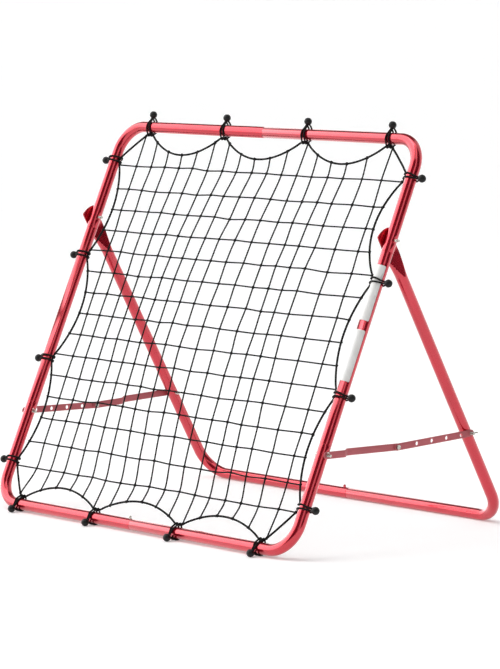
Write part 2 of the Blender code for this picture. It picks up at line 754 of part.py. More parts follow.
def build_ties(frame):
    straight = tie_mesh("tie", 0.0, BALL_REACH)
    leaning = tie_mesh("top_tie", TOP_BALL_ANGLE, TOP_BALL_REACH)
    bent = tie_mesh("floor_tie", FLOOR_BALL_ANGLE, FLOOR_BALL_REACH)
    quarter = math.pi / 2
    for number, x in enumerate(TOP_TIES, 1):
        node(f"tie_top_{number}", leaning, frame, (x, FRAME_HEIGHT, 0), (0, 0, quarter))
    for number, y in enumerate(SIDE_TIES, 1):
        node(f"tie_left_{number}", straight, frame, (-FRAME_WIDTH / 2, y, 0), (0, 0, math.pi))
        node(f"tie_right_{number}", straight, frame, (FRAME_WIDTH / 2, y, 0))
    bm = bmesh.new()
    bmesh.ops.create_cube(bm, size=1.0, matrix=Matrix.Diagonal((1.2, 0.2, 0.1, 1.0)))
    floor = node("floor_cutter", mesh_from("floor_cutter", bm, BLACK_CORD), None, (0, FRONT_BAR_Y, -0.05))
    floor.hide_render = True
    floor.display_type = "WIRE"
    for number, x in enumerate(BOTTOM_TIES, 1):
        tie = node(f"tie_bottom_{number}", bent, frame, (x, 0, 0), (0, 0, -quarter))
        cut(tie, floor)


def build_label(name, frame, low, high):
    """A blank wrap over some flats of the right tube, from its front to its outer side."""
    inner = TUBE_RADIUS + GAP / math.cos(math.pi / TUBE_SIDES)
    angles = [math.tau * (i + 0.5) / TUBE_SIDES for i in range(1, LABEL_FLATS + 2)]
    outside = [(inner + LABEL_THICKNESS, a) for a in angles]
    inside = [(inner, a) for a in reversed(angles)]
    rings = []
    for y in (low, high):
        rings.append([(FRAME_WIDTH / 2 - r * math.cos(a), y, r * math.sin(a)) for r, a in outside + inside])
    bm = bmesh.new()
    for ring in add_rings(bm, rings):
        for i in range(LABEL_FLATS):
            bm.faces.new((ring[i], ring[i + 1], ring[-2 - i], ring[-1 - i]))
    return node(name, mesh_from(name, bm, WHITE), frame)


def snap_button(name, parent, location):
    """A sprung pin that pops through both walls of a floor bar, pointing up."""
    top = TUBE_RADIUS + BUTTON_PROUD
    low, high = COLLAR_HEIGHTS
    collar = [(low, COLLAR_RADIUS), (high, COLLAR_RADIUS)]
    pin = [(high, BUTTON_RADIUS), (top - 0.0016, BUTTON_RADIUS), (top - 0.0005, 0.7 * BUTTON_RADIUS)]
    profile = collar + pin + [(top, 0.3 * BUTTON_RADIUS)]
    mesh = mesh_from(name, lathe(profile, 10), ZINC)
    return node(name, mesh, parent, location, (0, -math.pi / 2, 0))


def leaf_spring(name, parent, location):
    """A V of spring strip under the button, resting on the bottom of the bore."""
    last = len(SPRING_PATH) - 1
    width = SPRING_HALF_WIDTH
    rings = []
    for i, (across, up) in enumerate(SPRING_PATH):
        before, after = SPRING_PATH[max(i - 1, 0)], SPRING_PATH[min(i + 1, last)]
        heading = Vector((after[0] - before[0], after[1] - before[1])).normalized()
        x, z = heading.y * SPRING_HALF_THICKNESS, heading.x * SPRING_HALF_THICKNESS
        rings.append([(across + x, -width, up - z), (across + x, width, up - z),
                      (across - x, width, up + z), (across - x, -width, up + z)])
    return node(name, mesh_from(name, loft(rings), ZINC), parent, location)


def build_snap_button(where, x, y, z, outer_tube, inner_tube):
    """Drill both tubes over the button and set the button and its spring in them."""
    drill = bore_cutter(f"{where}_button_hole", None, (x, y, z + TUBE_RADIUS), HOLE_RADIUS, 0.012,
                        (0, math.pi / 2, 0))
    cut(outer_tube, drill)
    cut(inner_tube, drill)
    snap_button(f"{where}_snap_button", None, (x, y, z))
    leaf_spring(f"{where}_button_spring", None, (x, y, z))


def build_pivots_and_front_bolts(frame, wing_nut):
    """Bolts that pin the leg tongues and the front ends of the stays to the side tubes."""
    half = FRAME_WIDTH / 2
    pivot_grip = (LEG_SHIFT - TONGUE_HALF_THICKNESS - GAP, TUBE_RADIUS + GAP)
    for side, x in (("left", -half), ("right", half)):
        bolt_and_wing_nut("pivot", side, frame, (x, PIVOT_UP, 0), pivot_grip, wing_nut)
        bolt_and_wing_nut("stay_front", side, frame, (x, STAY_UP, 0), clamp_grip(side), wing_nut)


def build_rear_frame(pivot, tilt):
    """Two bent legs that meet in the middle of the base bar, with the stay bolts half way down."""
    pivot_z = pivot.location.z
    length = (pivot_z - TUBE_FLAT) / math.cos(tilt)
    turn = (math.degrees(tilt) - 30.0) / 30.0
    left_x, right_x = LEG_SHIFT - FRAME_WIDTH / 2, LEG_SHIFT + FRAME_WIDTH / 2
    left = rear_leg("rear_leg_left", pivot, left_x, REAR_SEAM_X - GAP / 2, length, 0.5 - turn, False)
    right = rear_leg("rear_leg_right", pivot, right_x, REAR_SEAM_X + GAP / 2, length, 0.5 + turn, True)
    for side, leg, x in (("left", left, left_x), ("right", right, right_x)):
        cut(leg, bore_cutter("tongue_hole_" + side, pivot, (x, 0, 0), HOLE_RADIUS, 0.01))
        cut(leg, bore_cutter("leg_hole_" + side, pivot, (x, STAY_DOWN, 0), HOLE_RADIUS, 0.04))
    base_y = pivot.location.y + length * math.sin(tilt)
    build_snap_button("rear", REAR_BUTTON_X, base_y, TUBE_FLAT, left, right)


def stay_layout(side, span):
    """Bar lengths, and the X places of the front bar and the rear bar at their bolts and at the elbow."""
    outward = 1 if side == "right" else -1
    tube_x = outward * (TUBE_FLAT + GAP + BAR_THICKNESS / 2)
    leg_x = LEG_SHIFT + tube_x
    step = BAR_THICKNESS + GAP
    reach = ELBOW_SHARE[side] * span
    lengths = (math.hypot(reach, ELBOW_SAG), math.hypot(span - reach, ELBOW_SAG))
    if side == "right":
        return lengths, (tube_x, leg_x - step), (leg_x, leg_x)
    return lengths, (tube_x, tube_x), (leg_x, tube_x + step)


def build_stays(frame, pivot, wing_nut):
    """Two folding stays; the right one has its plain bar in front, the left one is turned end for end."""
    up = PIVOT_UP - STAY_UP
    span = math.sqrt(up ** 2 + STAY_DOWN ** 2 - 2 * up * STAY_DOWN * math.cos(OPEN_ANGLE))
    at_front = math.acos((up ** 2 + span ** 2 - STAY_DOWN ** 2) / (2 * up * span))
    at_leg = math.pi - OPEN_ANGLE - at_front
    punched = [PUNCH_FIRST + PUNCH_PITCH * i for i in range(PUNCHES)]
    for side, x in (("left", -FRAME_WIDTH / 2), ("right", FRAME_WIDTH / 2)):
        lengths, front_places, rear_places = stay_layout(side, span)
        front_turn = at_front + math.asin(ELBOW_SAG / lengths[0])
        rear_turn = at_leg + math.asin(ELBOW_SAG / lengths[1])
        # Both bars start along +Y: the front one turns back from its tube, the rear one forward from its leg
        front = empty(f"stay_front_axis_{side}", frame, (x, STAY_UP, 0), (-front_turn, 0, 0))
        rear = empty(f"stay_rear_axis_{side}", pivot, (x, STAY_DOWN, 0), (math.pi + rear_turn, 0, 0))
        if side == "right":
            stay_bar("stay_plain_right", front, lengths[0], *front_places, joggle=FRONT_JOGGLE)
            stay_bar("stay_perforated_right", rear, lengths[1], *rear_places, punched=punched)
        else:
            joggle = [lengths[1] - back for back in REAR_JOGGLE]
            stay_bar("stay_perforated_left", front, lengths[0], *front_places, punched=punched)
            stay_bar("stay_plain_left", rear, lengths[1], *rear_places, joggle=joggle)
        elbow_hardware(side, front, rear, lengths, front_places[1], rear_places[1])
        grip = clamp_grip(side, LEG_SHIFT)
        bolt_and_wing_nut("stay_rear", side, pivot, (x, STAY_DOWN, 0), grip, wing_nut)


def elbow_hardware(side, front, rear, lengths, front_x, rear_x):
    """The elbow's bolt sits in the rear bar and its nut in the front one; they part at the bars' faces."""
    depth = BAR_THICKNESS / 2 + GAP
    thread = BAR_THICKNESS + GAP
    bolt(f"elbow_bolt_{side}", rear, (rear_x + depth, lengths[1], 0), 0.0, thread, (0, 0, math.pi))
    hexagon_nut(f"elbow_nut_{side}", front, (front_x - depth, lengths[0], 0), thread)


def build():
    clear_scene()
    frame = empty("front_frame_axes", None, (0, FRONT_BAR_Y, FRONT_BAR_Z), (math.pi / 2 - FRAME_TILT, 0, 0))
    tubes = build_front_tubes(frame)
    node("net", net_mesh(), frame)
    build_ties(frame)
    for name, (low, high) in LABELS.items():
        build_label(name, frame, low, high)
    build_snap_button("front", FRONT_BUTTON_X, FRONT_BAR_Y, FRONT_BAR_Z,
                      tubes["frame_bottom_left"], tubes["frame_bottom_right"])
    wing_nut = wing_nut_mesh()
    build_pivots_and_front_bolts(frame, wing_nut)
    tilt = OPEN_ANGLE - FRAME_TILT
    pivot_y = FRONT_BAR_Y + PIVOT_UP * math.sin(FRAME_TILT)
    pivot_z = FRONT_BAR_Z + PIVOT_UP * math.cos(FRAME_TILT)
    pivot = empty("rear_frame_axes", None, (0, pivot_y, pivot_z), (tilt - math.pi / 2, 0, 0))
    build_rear_frame(pivot, tilt)
    build_stays(frame, pivot, wing_nut)


build()
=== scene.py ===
import math

import bmesh
import bpy
import numpy as np
from mathutils import Matrix, Vector


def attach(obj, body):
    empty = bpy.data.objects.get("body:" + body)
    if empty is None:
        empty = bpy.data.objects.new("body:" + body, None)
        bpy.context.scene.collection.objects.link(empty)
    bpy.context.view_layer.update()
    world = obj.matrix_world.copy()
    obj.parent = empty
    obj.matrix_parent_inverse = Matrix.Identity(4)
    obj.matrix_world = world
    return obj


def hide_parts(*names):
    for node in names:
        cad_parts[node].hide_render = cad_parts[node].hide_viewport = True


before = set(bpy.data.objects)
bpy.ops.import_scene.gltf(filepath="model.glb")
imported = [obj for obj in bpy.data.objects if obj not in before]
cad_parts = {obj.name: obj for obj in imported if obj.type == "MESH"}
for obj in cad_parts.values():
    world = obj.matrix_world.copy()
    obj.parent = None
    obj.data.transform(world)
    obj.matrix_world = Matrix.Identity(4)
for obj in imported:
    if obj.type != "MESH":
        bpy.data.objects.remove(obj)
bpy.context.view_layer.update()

# Sizes and places that the CAD part gives, metres
FRAME_WIDTH = 0.940
FRAME_HEIGHT = 0.9178
FRAME_TILT = math.radians(25.05)
OPEN_ANGLE = math.radians(55.24)
TUBE_RADIUS = 0.0127
TUBE_WALL = 0.0012
TUBE_FLAT = TUBE_RADIUS * math.cos(math.pi / 12)
TUBE_LIP = 0.00035
BORE_RADIUS = TUBE_RADIUS - TUBE_WALL
BEND_RADIUS = 0.0635
FRONT_BAR_Y = -0.3190
FRONT_BAR_Z = 0.0162
GAP = 0.0003
SPIGOT_LENGTH = 0.045
SPIGOT_RADIUS = BORE_RADIUS - 0.00035
SPIGOT_BORE = SPIGOT_RADIUS - TUBE_WALL
TOP_SEAM_X = -0.0075
BOTTOM_SEAM_X = -0.016
REAR_SEAM_X = -0.010
SIDE_SEAMS = (0.236, 0.663)
PIVOT_UP = 0.6906
STAY_UP = 0.2150
STAY_DOWN = 0.4976
LEG_SHIFT = -0.0145
TONGUE_HALF_THICKNESS = 0.0014
TONGUE_HALF_WIDTH = 0.0195
TONGUE_REACH = 0.0230
TONGUE_CROWN = 0.0035
TONGUE_FLAT_END = 0.026
ROUND_FROM = 0.095
RAMP_FROM = 0.033
RAMP_END = 0.092
ELBOW_SHARE = {"left": 0.4624, "right": 0.4967}
ELBOW_SAG = 0.0070
BAR_HALF_WIDTH = 0.0075
BAR_THICKNESS = 0.0025
BAR_TIP = 0.0095
PUNCHES = (0.0303, 0.0764, 0.1225, 0.1686)
PUNCH_RADIUS = 0.0045
FRONT_JOGGLE = (0.050, 0.078)
REAR_JOGGLE = (0.106, 0.076)
WING_TURNS = {"pivot": 115, "stay_front": 70, "stay_rear": 70}
BOLT_RADIUS = 0.0030
HOLE_RADIUS = 0.0035
HEAD_RADIUS = 0.0056
HEAD_HEIGHT = 0.0040
BOLT_REACH = 0.0095
NUT_HEIGHT = 0.0045
BUTTON_RADIUS = 0.0031
BUTTON_PROUD = 0.0060
FRONT_BUTTON_X = -0.0235
REAR_BUTTON_X = -0.0250
LABELS = {"label_upper": (0.5085, 0.6315), "label_lower": (0.3740, 0.4875)}

# Net and ties, metres along the front frame
ROWS = 15
HOOK_INSET = 0.0180
HOOK_FLAT = 0.0072
TOP_ROW = 0.8212
END_PITCH = 0.0586
ROW_PITCH = 0.0508
TOP_TIES = (-0.380, -0.134, 0.1235, 0.378)
BOTTOM_TIES = (-0.395, -0.143, 0.122, 0.378)
SIDE_TIES = (0.0985, 0.3440, 0.5980, 0.8335)
TOP_SAG = 0.046
BOTTOM_SAG = 0.034
LEFT_SAGS = (0.029, 0.038, 0.030)
RIGHT_SAGS = (0.028, 0.031, 0.043)
STRING_RADIUS = 0.0017
ROPE_RADIUS = 0.0023
# Knots, as (size, radius of their cord), and how far the meshes stray along X, Y and Z
MESH_KNOT = (0.0024, 0.0014)
ROPE_KNOT = (0.0026, 0.0015)
STRAY = (0.0004, 0.0008, 0.0010)
TIE_CORD_RADIUS = 0.0019
TIE_LOOP_RADIUS = 0.0147
TIE_LOOP_SPREAD = 0.0044
TIE_HOOK_REACH = 0.0232
BALL_RADIUS = 0.0085
BALL_REACH = 0.0310
FLOOR_BALL_REACH = 0.0268
FLOOR_BALL_ANGLE = math.radians(48.5)
TOP_BALL_REACH = 0.0285
TOP_BALL_ANGLE = math.radians(20.0)
LEFT_BALL_SAG = 0.003
RIGHT_BALL_SAG = -0.002

# Net columns: evenly pitched, with the last gaps wider and the foot of the net a little to the right. It is
# pulled to the left in two places, each given as (column, how far, how many columns wide)
COLUMNS = 17
COLUMN_FIRST = -0.390
COLUMN_PITCH = 0.0475
FOOT_SHIFT = 0.009
EDGE_STRETCH = 0.0066
EVEN_COLUMNS = 14
PULLS = ((7.5, 0.048, 4.5), (13.8, 0.029, 1.6))
TOP_LEAN = -0.0040
BOTTOM_LEAN = -0.0095
TIE_CLEARANCE = 0.0117

# Fineness of the visible meshes
TUBE_SIDES = 48
BEND_STEPS = 24
CORD_SIDES = 10
MARK_STEP = 0.0015
FLOOR_CLEARANCE = 0.0001

# Shallow seats that the bolts press into a tube
SEAT_DEPTH = 0.0008
SEAT_REACH = 0.0105

front_axes = (Matrix.Translation((0, FRONT_BAR_Y, FRONT_BAR_Z))
              @ Matrix.Rotation(math.pi / 2 - FRAME_TILT, 4, "X"))
leg_tilt = OPEN_ANGLE - FRAME_TILT
pivot_point = front_axes @ Vector((0, PIVOT_UP, 0))
rear_axes = Matrix.Translation(pivot_point) @ Matrix.Rotation(leg_tilt - math.pi / 2, 4, "X")
leg_length = (pivot_point.z - TUBE_FLAT) / math.cos(leg_tilt)
front_button = (FRONT_BUTTON_X, FRONT_BAR_Y, FRONT_BAR_Z)
rear_button = (REAR_BUTTON_X, (rear_axes @ Vector((0, leg_length, 0))).y, TUBE_FLAT)
half_width = FRAME_WIDTH / 2
SIDES = (("left", -1), ("right", 1))
shake = np.random.default_rng(5)


def turned(angle, axis="X"):
    return Matrix.Rotation(angle, 4, axis)


def shifted(x, y, z):
    return Matrix.Translation((x, y, z))


def full_turn(count):
    """Angles evenly spaced round a circle."""
    return np.arange(count) * math.tau / count


def share_of(value, low, high):
    """How far a value is on the way from low to high, held between 0 and 1."""
    return min(max((value - low) / (high - low), 0.0), 1.0)


def in_scene(name, data):
    """A new object of the scene."""
    made = bpy.data.objects.new(name, data)
    bpy.context.scene.collection.objects.link(made)
    return made


# Materials

def link(tree, source, output, target, socket):
    tree.links.new(source.outputs[output], target.inputs[socket])


def add(tree, kind, **values):
    """A node with its properties and its input sockets set by name."""
    made = tree.nodes.new(kind)
    for name, value in values.items():
        if hasattr(made, name):
            setattr(made, name, value)
        else:
            made.inputs[name.replace("_", " ")].default_value = value
    return made


def ramp(tree, source, output, stops):
    """A colour ramp over a node's output, from (place, colour) stops in rising order."""
    made = add(tree, "ShaderNodeValToRGB")
    link(tree, source, output, made, "Fac")
    elements = made.color_ramp.elements
    for element, (at, colour) in zip(elements, (stops[0], stops[-1])):
        element.position = at
        element.color = (*colour, 1.0)
    for at, colour in stops[1:-1]:
        elements.new(at).color = (*colour, 1.0)
    return made


def spread(tree, source, output, low, high, first=0.0, last=1.0):
    """A value between low and high, from an output that runs from first to last."""
    made = add(tree, "ShaderNodeMapRange", To_Min=low, To_Max=high, From_Min=first, From_Max=last)
    link(tree, source, output, made, "Value")
    return made


def arithmetic(tree, operation, *operands):
    """A math node's result as (node, output); each operand is a number or another such pair."""
    made = add(tree, "ShaderNodeMath", operation=operation)
    for number, operand in enumerate(operands):
        if isinstance(operand, tuple):
            link(tree, *operand, made, number)
        else:
            made.inputs[number].default_value = operand
    return made, "Value"


def new_material(name, **constants):
    made = bpy.data.materials.new(name)
    made.use_nodes = True
    shader = made.node_tree.nodes["Principled BSDF"]
    for socket, value in constants.items():
        shader.inputs[socket.replace("_", " ")].default_value = value
    return made


class Finish:
    """A material being built, whose colour, gloss and bump each follow a texture."""

    def __init__(self, name, **constants):
        self.material = new_material(name, **constants)
        self.tree = self.material.node_tree
        self.shader = self.tree.nodes["Principled BSDF"]
        self.place = add(self.tree, "ShaderNodeTexCoord")

    def texture(self, kind="Noise", **values):
        made = add(self.tree, "ShaderNodeTex" + kind, **values)
        link(self.tree, self.place, "Object", made, "Vector")
        return made

    def colour(self, source, stops):
        link(self.tree, ramp(self.tree, source, "Fac", stops), "Color", self.shader, "Base Color")

    def gloss(self, source, low, high):
        link(self.tree, spread(self.tree, source, "Fac", low, high), "Result", self.shader, "Roughness")

    def bump(self, source, output, strength, distance):
        made = add(self.tree, "ShaderNodeBump", Strength=strength, Distance=distance)
        link(self.tree, source, output, made, "Height")
        link(self.tree, made, "Normal", self.shader, "Normal")


def paint(name, deep, bright, metal, roughness, coat, peel):
    """Sprayed enamel over metal flake: colour drifts a little, with orange peel and small dull patches."""
    finish = Finish(name, Metallic=metal, Coat_Weight=coat, Coat_Roughness=0.05, Coat_IOR=1.6,
                    Specular_IOR_Level=0.5)
    finish.colour(finish.texture(Scale=9.0, Detail=4.0), [(0.30, deep), (0.70, bright)])
    smudge = finish.texture(Scale=38.0, Detail=5.0, Roughness=0.6)
    finish.gloss(smudge, roughness - 0.06, roughness + 0.08)
    finish.bump(finish.texture(Scale=520.0, Detail=2.0), "Fac", peel, 0.0004)
    return finish.material


def twisted_cord(name, colour, lay_length, plies, braided, roughness):
    """Fibre cord. UV runs (along in metres, round from 0 to 1), so slanted bands follow its twist."""
    finish = Finish(name, Specular_IOR_Level=0.2)
    tree = finish.tree
    parts = add(tree, "ShaderNodeSeparateXYZ")
    link(tree, finish.place, "UV", parts, "Vector")
    waves = []
    for hand in ((1, -1) if braided else (1,)):
        turns = arithmetic(tree, "MULTIPLY", (parts, "X"), math.tau * plies * hand / lay_length)
        around = arithmetic(tree, "MULTIPLY_ADD", (parts, "Y"), math.tau * plies, turns)
        waves.append(arithmetic(tree, "SINE", around))
    height = arithmetic(tree, "MAXIMUM", *waves) if braided else waves[0]
    fuzz = finish.texture(Scale=900.0, Detail=3.0)
    finish.bump(*arithmetic(tree, "MULTIPLY_ADD", height, 0.4, (fuzz, "Fac")), 0.8, 0.0005)
    finish.colour(fuzz, [(0.35, colour), (0.75, [2.4 * part for part in colour])])
    finish.gloss(fuzz, roughness - 0.08, roughness + 0.1)
    return finish.material


def clouded(name, cloud, stops, gloss, grain, relief, **constants):
    """A material whose colour and gloss follow one texture and whose relief follows a finer one."""
    finish = Finish(name, **constants)
    clouds = finish.texture(**cloud)
    finish.colour(clouds, stops)
    finish.gloss(clouds, *gloss)
    finish.bump(finish.texture(**grain), *relief)
    return finish.material


RED = paint("red_enamel", (0.56, 0.006, 0.024), (0.64, 0.010, 0.034), 0.72, 0.16, 1.0, 0.06)
STAY_RED = paint("stay_enamel", (0.42, 0.080, 0.095), (0.50, 0.100, 0.118), 0.15, 0.48, 0.1, 0.20)
# Zinc plating: faint cloudy tint, fine scratches and uneven gloss
ZINC = clouded("zinc_plating", {"Scale": 160.0, "Detail": 5.0},
               [(0.25, (0.35, 0.34, 0.31)), (0.65, (0.70, 0.68, 0.62))], (0.14, 0.34),
               {"Scale": 1400.0, "Detail": 3.0}, ("Fac", 0.25, 0.0002), Metallic=0.9)
NET_CORD = twisted_cord("net_twine", (0.0020, 0.0020, 0.0021), 0.007, 3, False, 0.75)
ROPE_CORD = twisted_cord("net_rope", (0.0020, 0.0020, 0.0021), 0.012, 3, False, 0.75)
ELASTIC = twisted_cord("elastic_cord", (0.0020, 0.0020, 0.0020), 0.012, 4, True, 0.70)
# Hard black plastic: faint flow marks and a fine satin grain
BLACK_PLASTIC = clouded("ball_plastic", {"Scale": 120.0, "Detail": 4.0, "Distortion": 0.8},
                        [(0.35, (0.0025, 0.0025, 0.0026)), (0.7, (0.00475, 0.00475, 0.00494))], (0.28, 0.44),
                        {"Scale": 2200.0, "Detail": 2.0}, ("Fac", 0.2, 0.0002), Specular_IOR_Level=0.3)
# Blank white vinyl, slightly yellowed in places, with small air bubbles
VINYL = clouded("label_vinyl", {"Scale": 45.0, "Detail": 3.0},
                [(0.3, (0.74, 0.73, 0.71)), (0.7, (0.83, 0.83, 0.82))], (0.30, 0.45),
                {"kind": "Voronoi", "Scale": 260.0}, ("Distance", 0.12, 0.0003),
                Specular_IOR_Level=0.4, Coat_Weight=0.2, Coat_Roughness=0.2)


# Mesh building

class Shape:
    """Vertices, faces and face corners' UVs of one mesh."""

    def __init__(self):
        self.points = []
        self.faces = []
        self.uvs = []

    def loft(self, rings, uvs=None, loop=False, caps=True):
        """Skin rings of points; uvs gives each ring's place along, and a ring's points share 0 to 1."""
        base = len(self.points)
        count = len(rings[0])
        for ring in rings:
            self.points.extend(list(point) for point in ring)
        along = uvs or [0.01 * i for i in range(len(rings) + 1)]
        last = len(rings) if loop else len(rings) - 1
        for i in range(last):
            j = (i + 1) % len(rings)
            for k in range(count):
                m = (k + 1) % count
                self.faces.append((base + i * count + k, base + i * count + m,
                                   base + j * count + m, base + j * count + k))
                u, v = along[i], along[i + 1]
                a, b = k / count, (k + 1) / count
                self.uvs.append(((u, a), (u, b), (v, b), (v, a)))
        if caps and not loop:
            self.cap(range(base, base + count), along[0])
            start = base + (len(rings) - 1) * count
            self.cap(range(start, start + count), along[len(rings) - 1])

    def cap(self, indices, along):
        self.faces.append(tuple(indices))
        self.uvs.append(tuple((along, 0.0) for _ in indices))

    def mesh(self, name, material, smooth_angle):
        made = bpy.data.meshes.new(name)
        made.from_pydata(self.points, [], self.faces)
        layer = made.uv_layers.new(name="UVMap")
        flat = [part for corners in self.uvs for corner in corners for part in corner]
        layer.data.foreach_set("uv", flat)
        bm = bmesh.new()
        bm.from_mesh(made)
        bmesh.ops.recalc_face_normals(bm, faces=bm.faces)
        bm.to_mesh(made)
        bm.free()
        made.materials.append(material)
        made.shade_smooth()
        made.set_sharp_from_angle(angle=math.radians(smooth_angle))
        return made


def lofted(name, material, smooth_angle, rings, uvs=None, loop=False):
    """A mesh of one skin over rings of points."""
    shape = Shape()
    shape.loft(rings, uvs, loop)
    return shape.mesh(name, material, smooth_angle)


def piece(name, mesh, body, matrix, replaces):
    """A scene object that rides a body; its mesh is moved to its place, so that its bounds are exact."""
    placed = mesh.copy()
    placed.transform(matrix)
    made = in_scene(name, placed)
    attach(made, body)
    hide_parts(*replaces)


def cord(shape, centres, radius, reference, closed=False, sides=CORD_SIDES):
    """A round cord along centres; reference is a direction square to the cord all along."""
    centres = np.asarray(centres, float)
    reference = np.asarray(reference, float)
    if closed:
        headings = np.roll(centres, -1, axis=0) - np.roll(centres, 1, axis=0)
    else:
        headings = np.gradient(centres, axis=0)
    headings /= np.linalg.norm(headings, axis=1)[:, None]
    side = reference - (headings @ reference)[:, None] * headings
    side /= np.linalg.norm(side, axis=1)[:, None]
    out = np.cross(headings, side)
    steps = np.linalg.norm(np.diff(centres, axis=0), axis=1)
    along = np.concatenate([[0.0], np.cumsum(steps)])
    if closed:
        along = np.append(along, along[-1] + np.linalg.norm(centres[0] - centres[-1]))
    angles = full_turn(sides)
    rings = [centre + radius * (np.cos(angles)[:, None] * a + np.sin(angles)[:, None] * b)
             for centre, a, b in zip(centres, side, out)]
    shape.loft(rings, list(along), loop=closed)


def combined(whole, others, sharp, operation="DIFFERENCE", axes=Matrix(), place=Matrix()):
    """The whole mesh with others cut from it or joined to it; axes sets the whole and place the others."""
    scraps = [in_scene("scrap", mesh) for mesh in (whole, *others)]
    for scrap in scraps:
        scrap.matrix_world = place
    scraps[0].matrix_world = axes
    for other in scraps[1:]:
        step = scraps[0].modifiers.new("Step", "BOOLEAN")
        step.operation = operation
        step.object = other
    bpy.context.view_layer.update()
    shown = scraps[0].evaluated_get(bpy.context.evaluated_depsgraph_get())
    made = bpy.data.meshes.new_from_object(shown)
    for scrap in scraps:
        bpy.data.objects.remove(scrap)
    made.set_sharp_from_angle(angle=math.radians(sharp))
    return made


# Tubes

class Run:
    """A tube's centre line in its frame's XY plane, with at most one bend."""

    def __init__(self, start, end, corner=None):
        self.start, self.end = Vector(start), Vector(end)
        self.bent = corner is not None
        turn = Vector(corner) if self.bent else self.end
        self.inward = (turn - self.start).normalized()
        self.length = (turn - self.start).length
        if self.bent:
            self.outward = (self.end - turn).normalized()
            self.bend_from = self.length - BEND_RADIUS
            self.bend_to = self.bend_from + BEND_RADIUS * math.pi / 2
            self.length = self.bend_to + (self.end - turn).length - BEND_RADIUS

    def at(self, along):
        """Point and heading at a distance from the start."""
        if not self.bent or along <= self.bend_from:
            return self.start + self.inward * along, self.inward
        if along >= self.bend_to:
            return self.end - self.outward * (self.length - along), self.outward
        angle = (along - self.bend_from) / BEND_RADIUS
        centre = self.start + self.inward * self.bend_from + self.outward * BEND_RADIUS
        heading = self.inward * math.cos(angle) + self.outward * math.sin(angle)
        spoke = self.inward * math.sin(angle) - self.outward * math.cos(angle)
        return centre + spoke * BEND_RADIUS, heading

    def stations(self, marks=()):
        """Distances along the tube: its ends, its bend, and closely spaced ones about each mark."""
        spots = [0.0, self.length]
        if self.bent:
            spots += list(np.linspace(self.bend_from, self.bend_to, BEND_STEPS + 1))
        for mark in marks:
            spots += [mark + MARK_STEP * step for step in range(-8, 9)]
        return sorted(spot for spot in set(spots) if 0.0 <= spot <= self.length)

    def section(self, along, radius):
        """Round ring at a distance from the start."""
        point, heading = self.at(along)
        angles = full_turn(TUBE_SIDES)
        return [(point.x - heading.y * a, point.y + heading.x * a, b)
                for a, b in zip(radius * np.cos(angles), radius * np.sin(angles))]


def end_lip(run, at_start):
    """Distances and radii of a tube's rounded end, from the outside in."""
    spots = [(TUBE_LIP, TUBE_RADIUS), (0.3 * TUBE_LIP, TUBE_RADIUS - 0.3 * TUBE_LIP),
             (0.0, TUBE_RADIUS - TUBE_LIP)]
    return [(along if at_start else run.length - along, radius) for along, radius in spots]


def tube_profile(run, marks, spigot, start_lip=True):
    """(distance, radius) round a tube's wall: outside from start to end, then inside back again."""
    outside = [(along, TUBE_RADIUS) for along in run.stations(marks)][1:-1]
    inside = [(along, BORE_RADIUS) for along in run.stations(marks)]
    first = end_lip(run, True)[::-1] if start_lip else [(0.0, TUBE_RADIUS)]
    profile = first + outside + end_lip(run, False)
    if spigot:
        end, soft = run.length, 0.0006
        profile += [(end, SPIGOT_RADIUS), (end + SPIGOT_LENGTH - soft, SPIGOT_RADIUS),
                    (end + SPIGOT_LENGTH, SPIGOT_RADIUS - soft), (end + SPIGOT_LENGTH, SPIGOT_BORE),
                    (end, SPIGOT_BORE), (end - 0.004, BORE_RADIUS)]
        inside = inside[:-1]
    return profile + inside[::-1]


def press_dimples(points, bolts):
    """Shallow round seats that the bolts press into a tube, on both sides of it along X."""
    for x, y in bolts:
        for point in points:
            off = math.hypot(point[1] - y, point[2]) / SEAT_REACH
            side = point[0] - x
            if off < 1.0 and abs(side) > 0.5 * TUBE_RADIUS:
                point[0] -= math.copysign(SEAT_DEPTH * (1 - off * off) ** 2, side)


def lift_to_floor(points, axes):
    """Flatten what would reach below the floor, as a tube's underside does where it bears on it."""
    back = axes.inverted()
    for point in points:
        world = axes @ Vector(point)
        if world.z < FLOOR_CLEARANCE:
            world.z = FLOOR_CLEARANCE
            point[:] = list(back @ world)


def tube_mesh(name, run, spigot, bolts=(), marks=(), start_rings=(), axes=None):
    """A hollow painted tube; start_rings replace its plain start, as a pressed tongue does."""
    profile = tube_profile(run, marks, spigot, not start_rings)
    rings = [run.section(along, radius) for along, radius in profile]
    lengths = [along for along, _ in profile]
    shape = Shape()
    if start_rings:
        shape.loft(start_rings + rings[1:], [0.002 * i for i in range(len(start_rings))] + lengths)
    else:
        shape.loft(rings, lengths + [0.0], loop=True)
    press_dimples(shape.points, bolts)
    if axes is not None:
        lift_to_floor(shape.points, axes)
    return shape.mesh(name, RED, 40.0)


def drill(name, mesh, axes, centre):
    """Cut a snap button's round hole straight down through the top wall of a floor bar."""
    rings = [[(HOLE_RADIUS * math.cos(a), HOLE_RADIUS * math.sin(a), z) for a in full_turn(32)]
             for z in (0.003, 0.02)]
    cutter = lofted(name + "_cutter", RED, 35.0, rings)
    return combined(mesh, [cutter], 40, axes=axes, place=shifted(*centre))


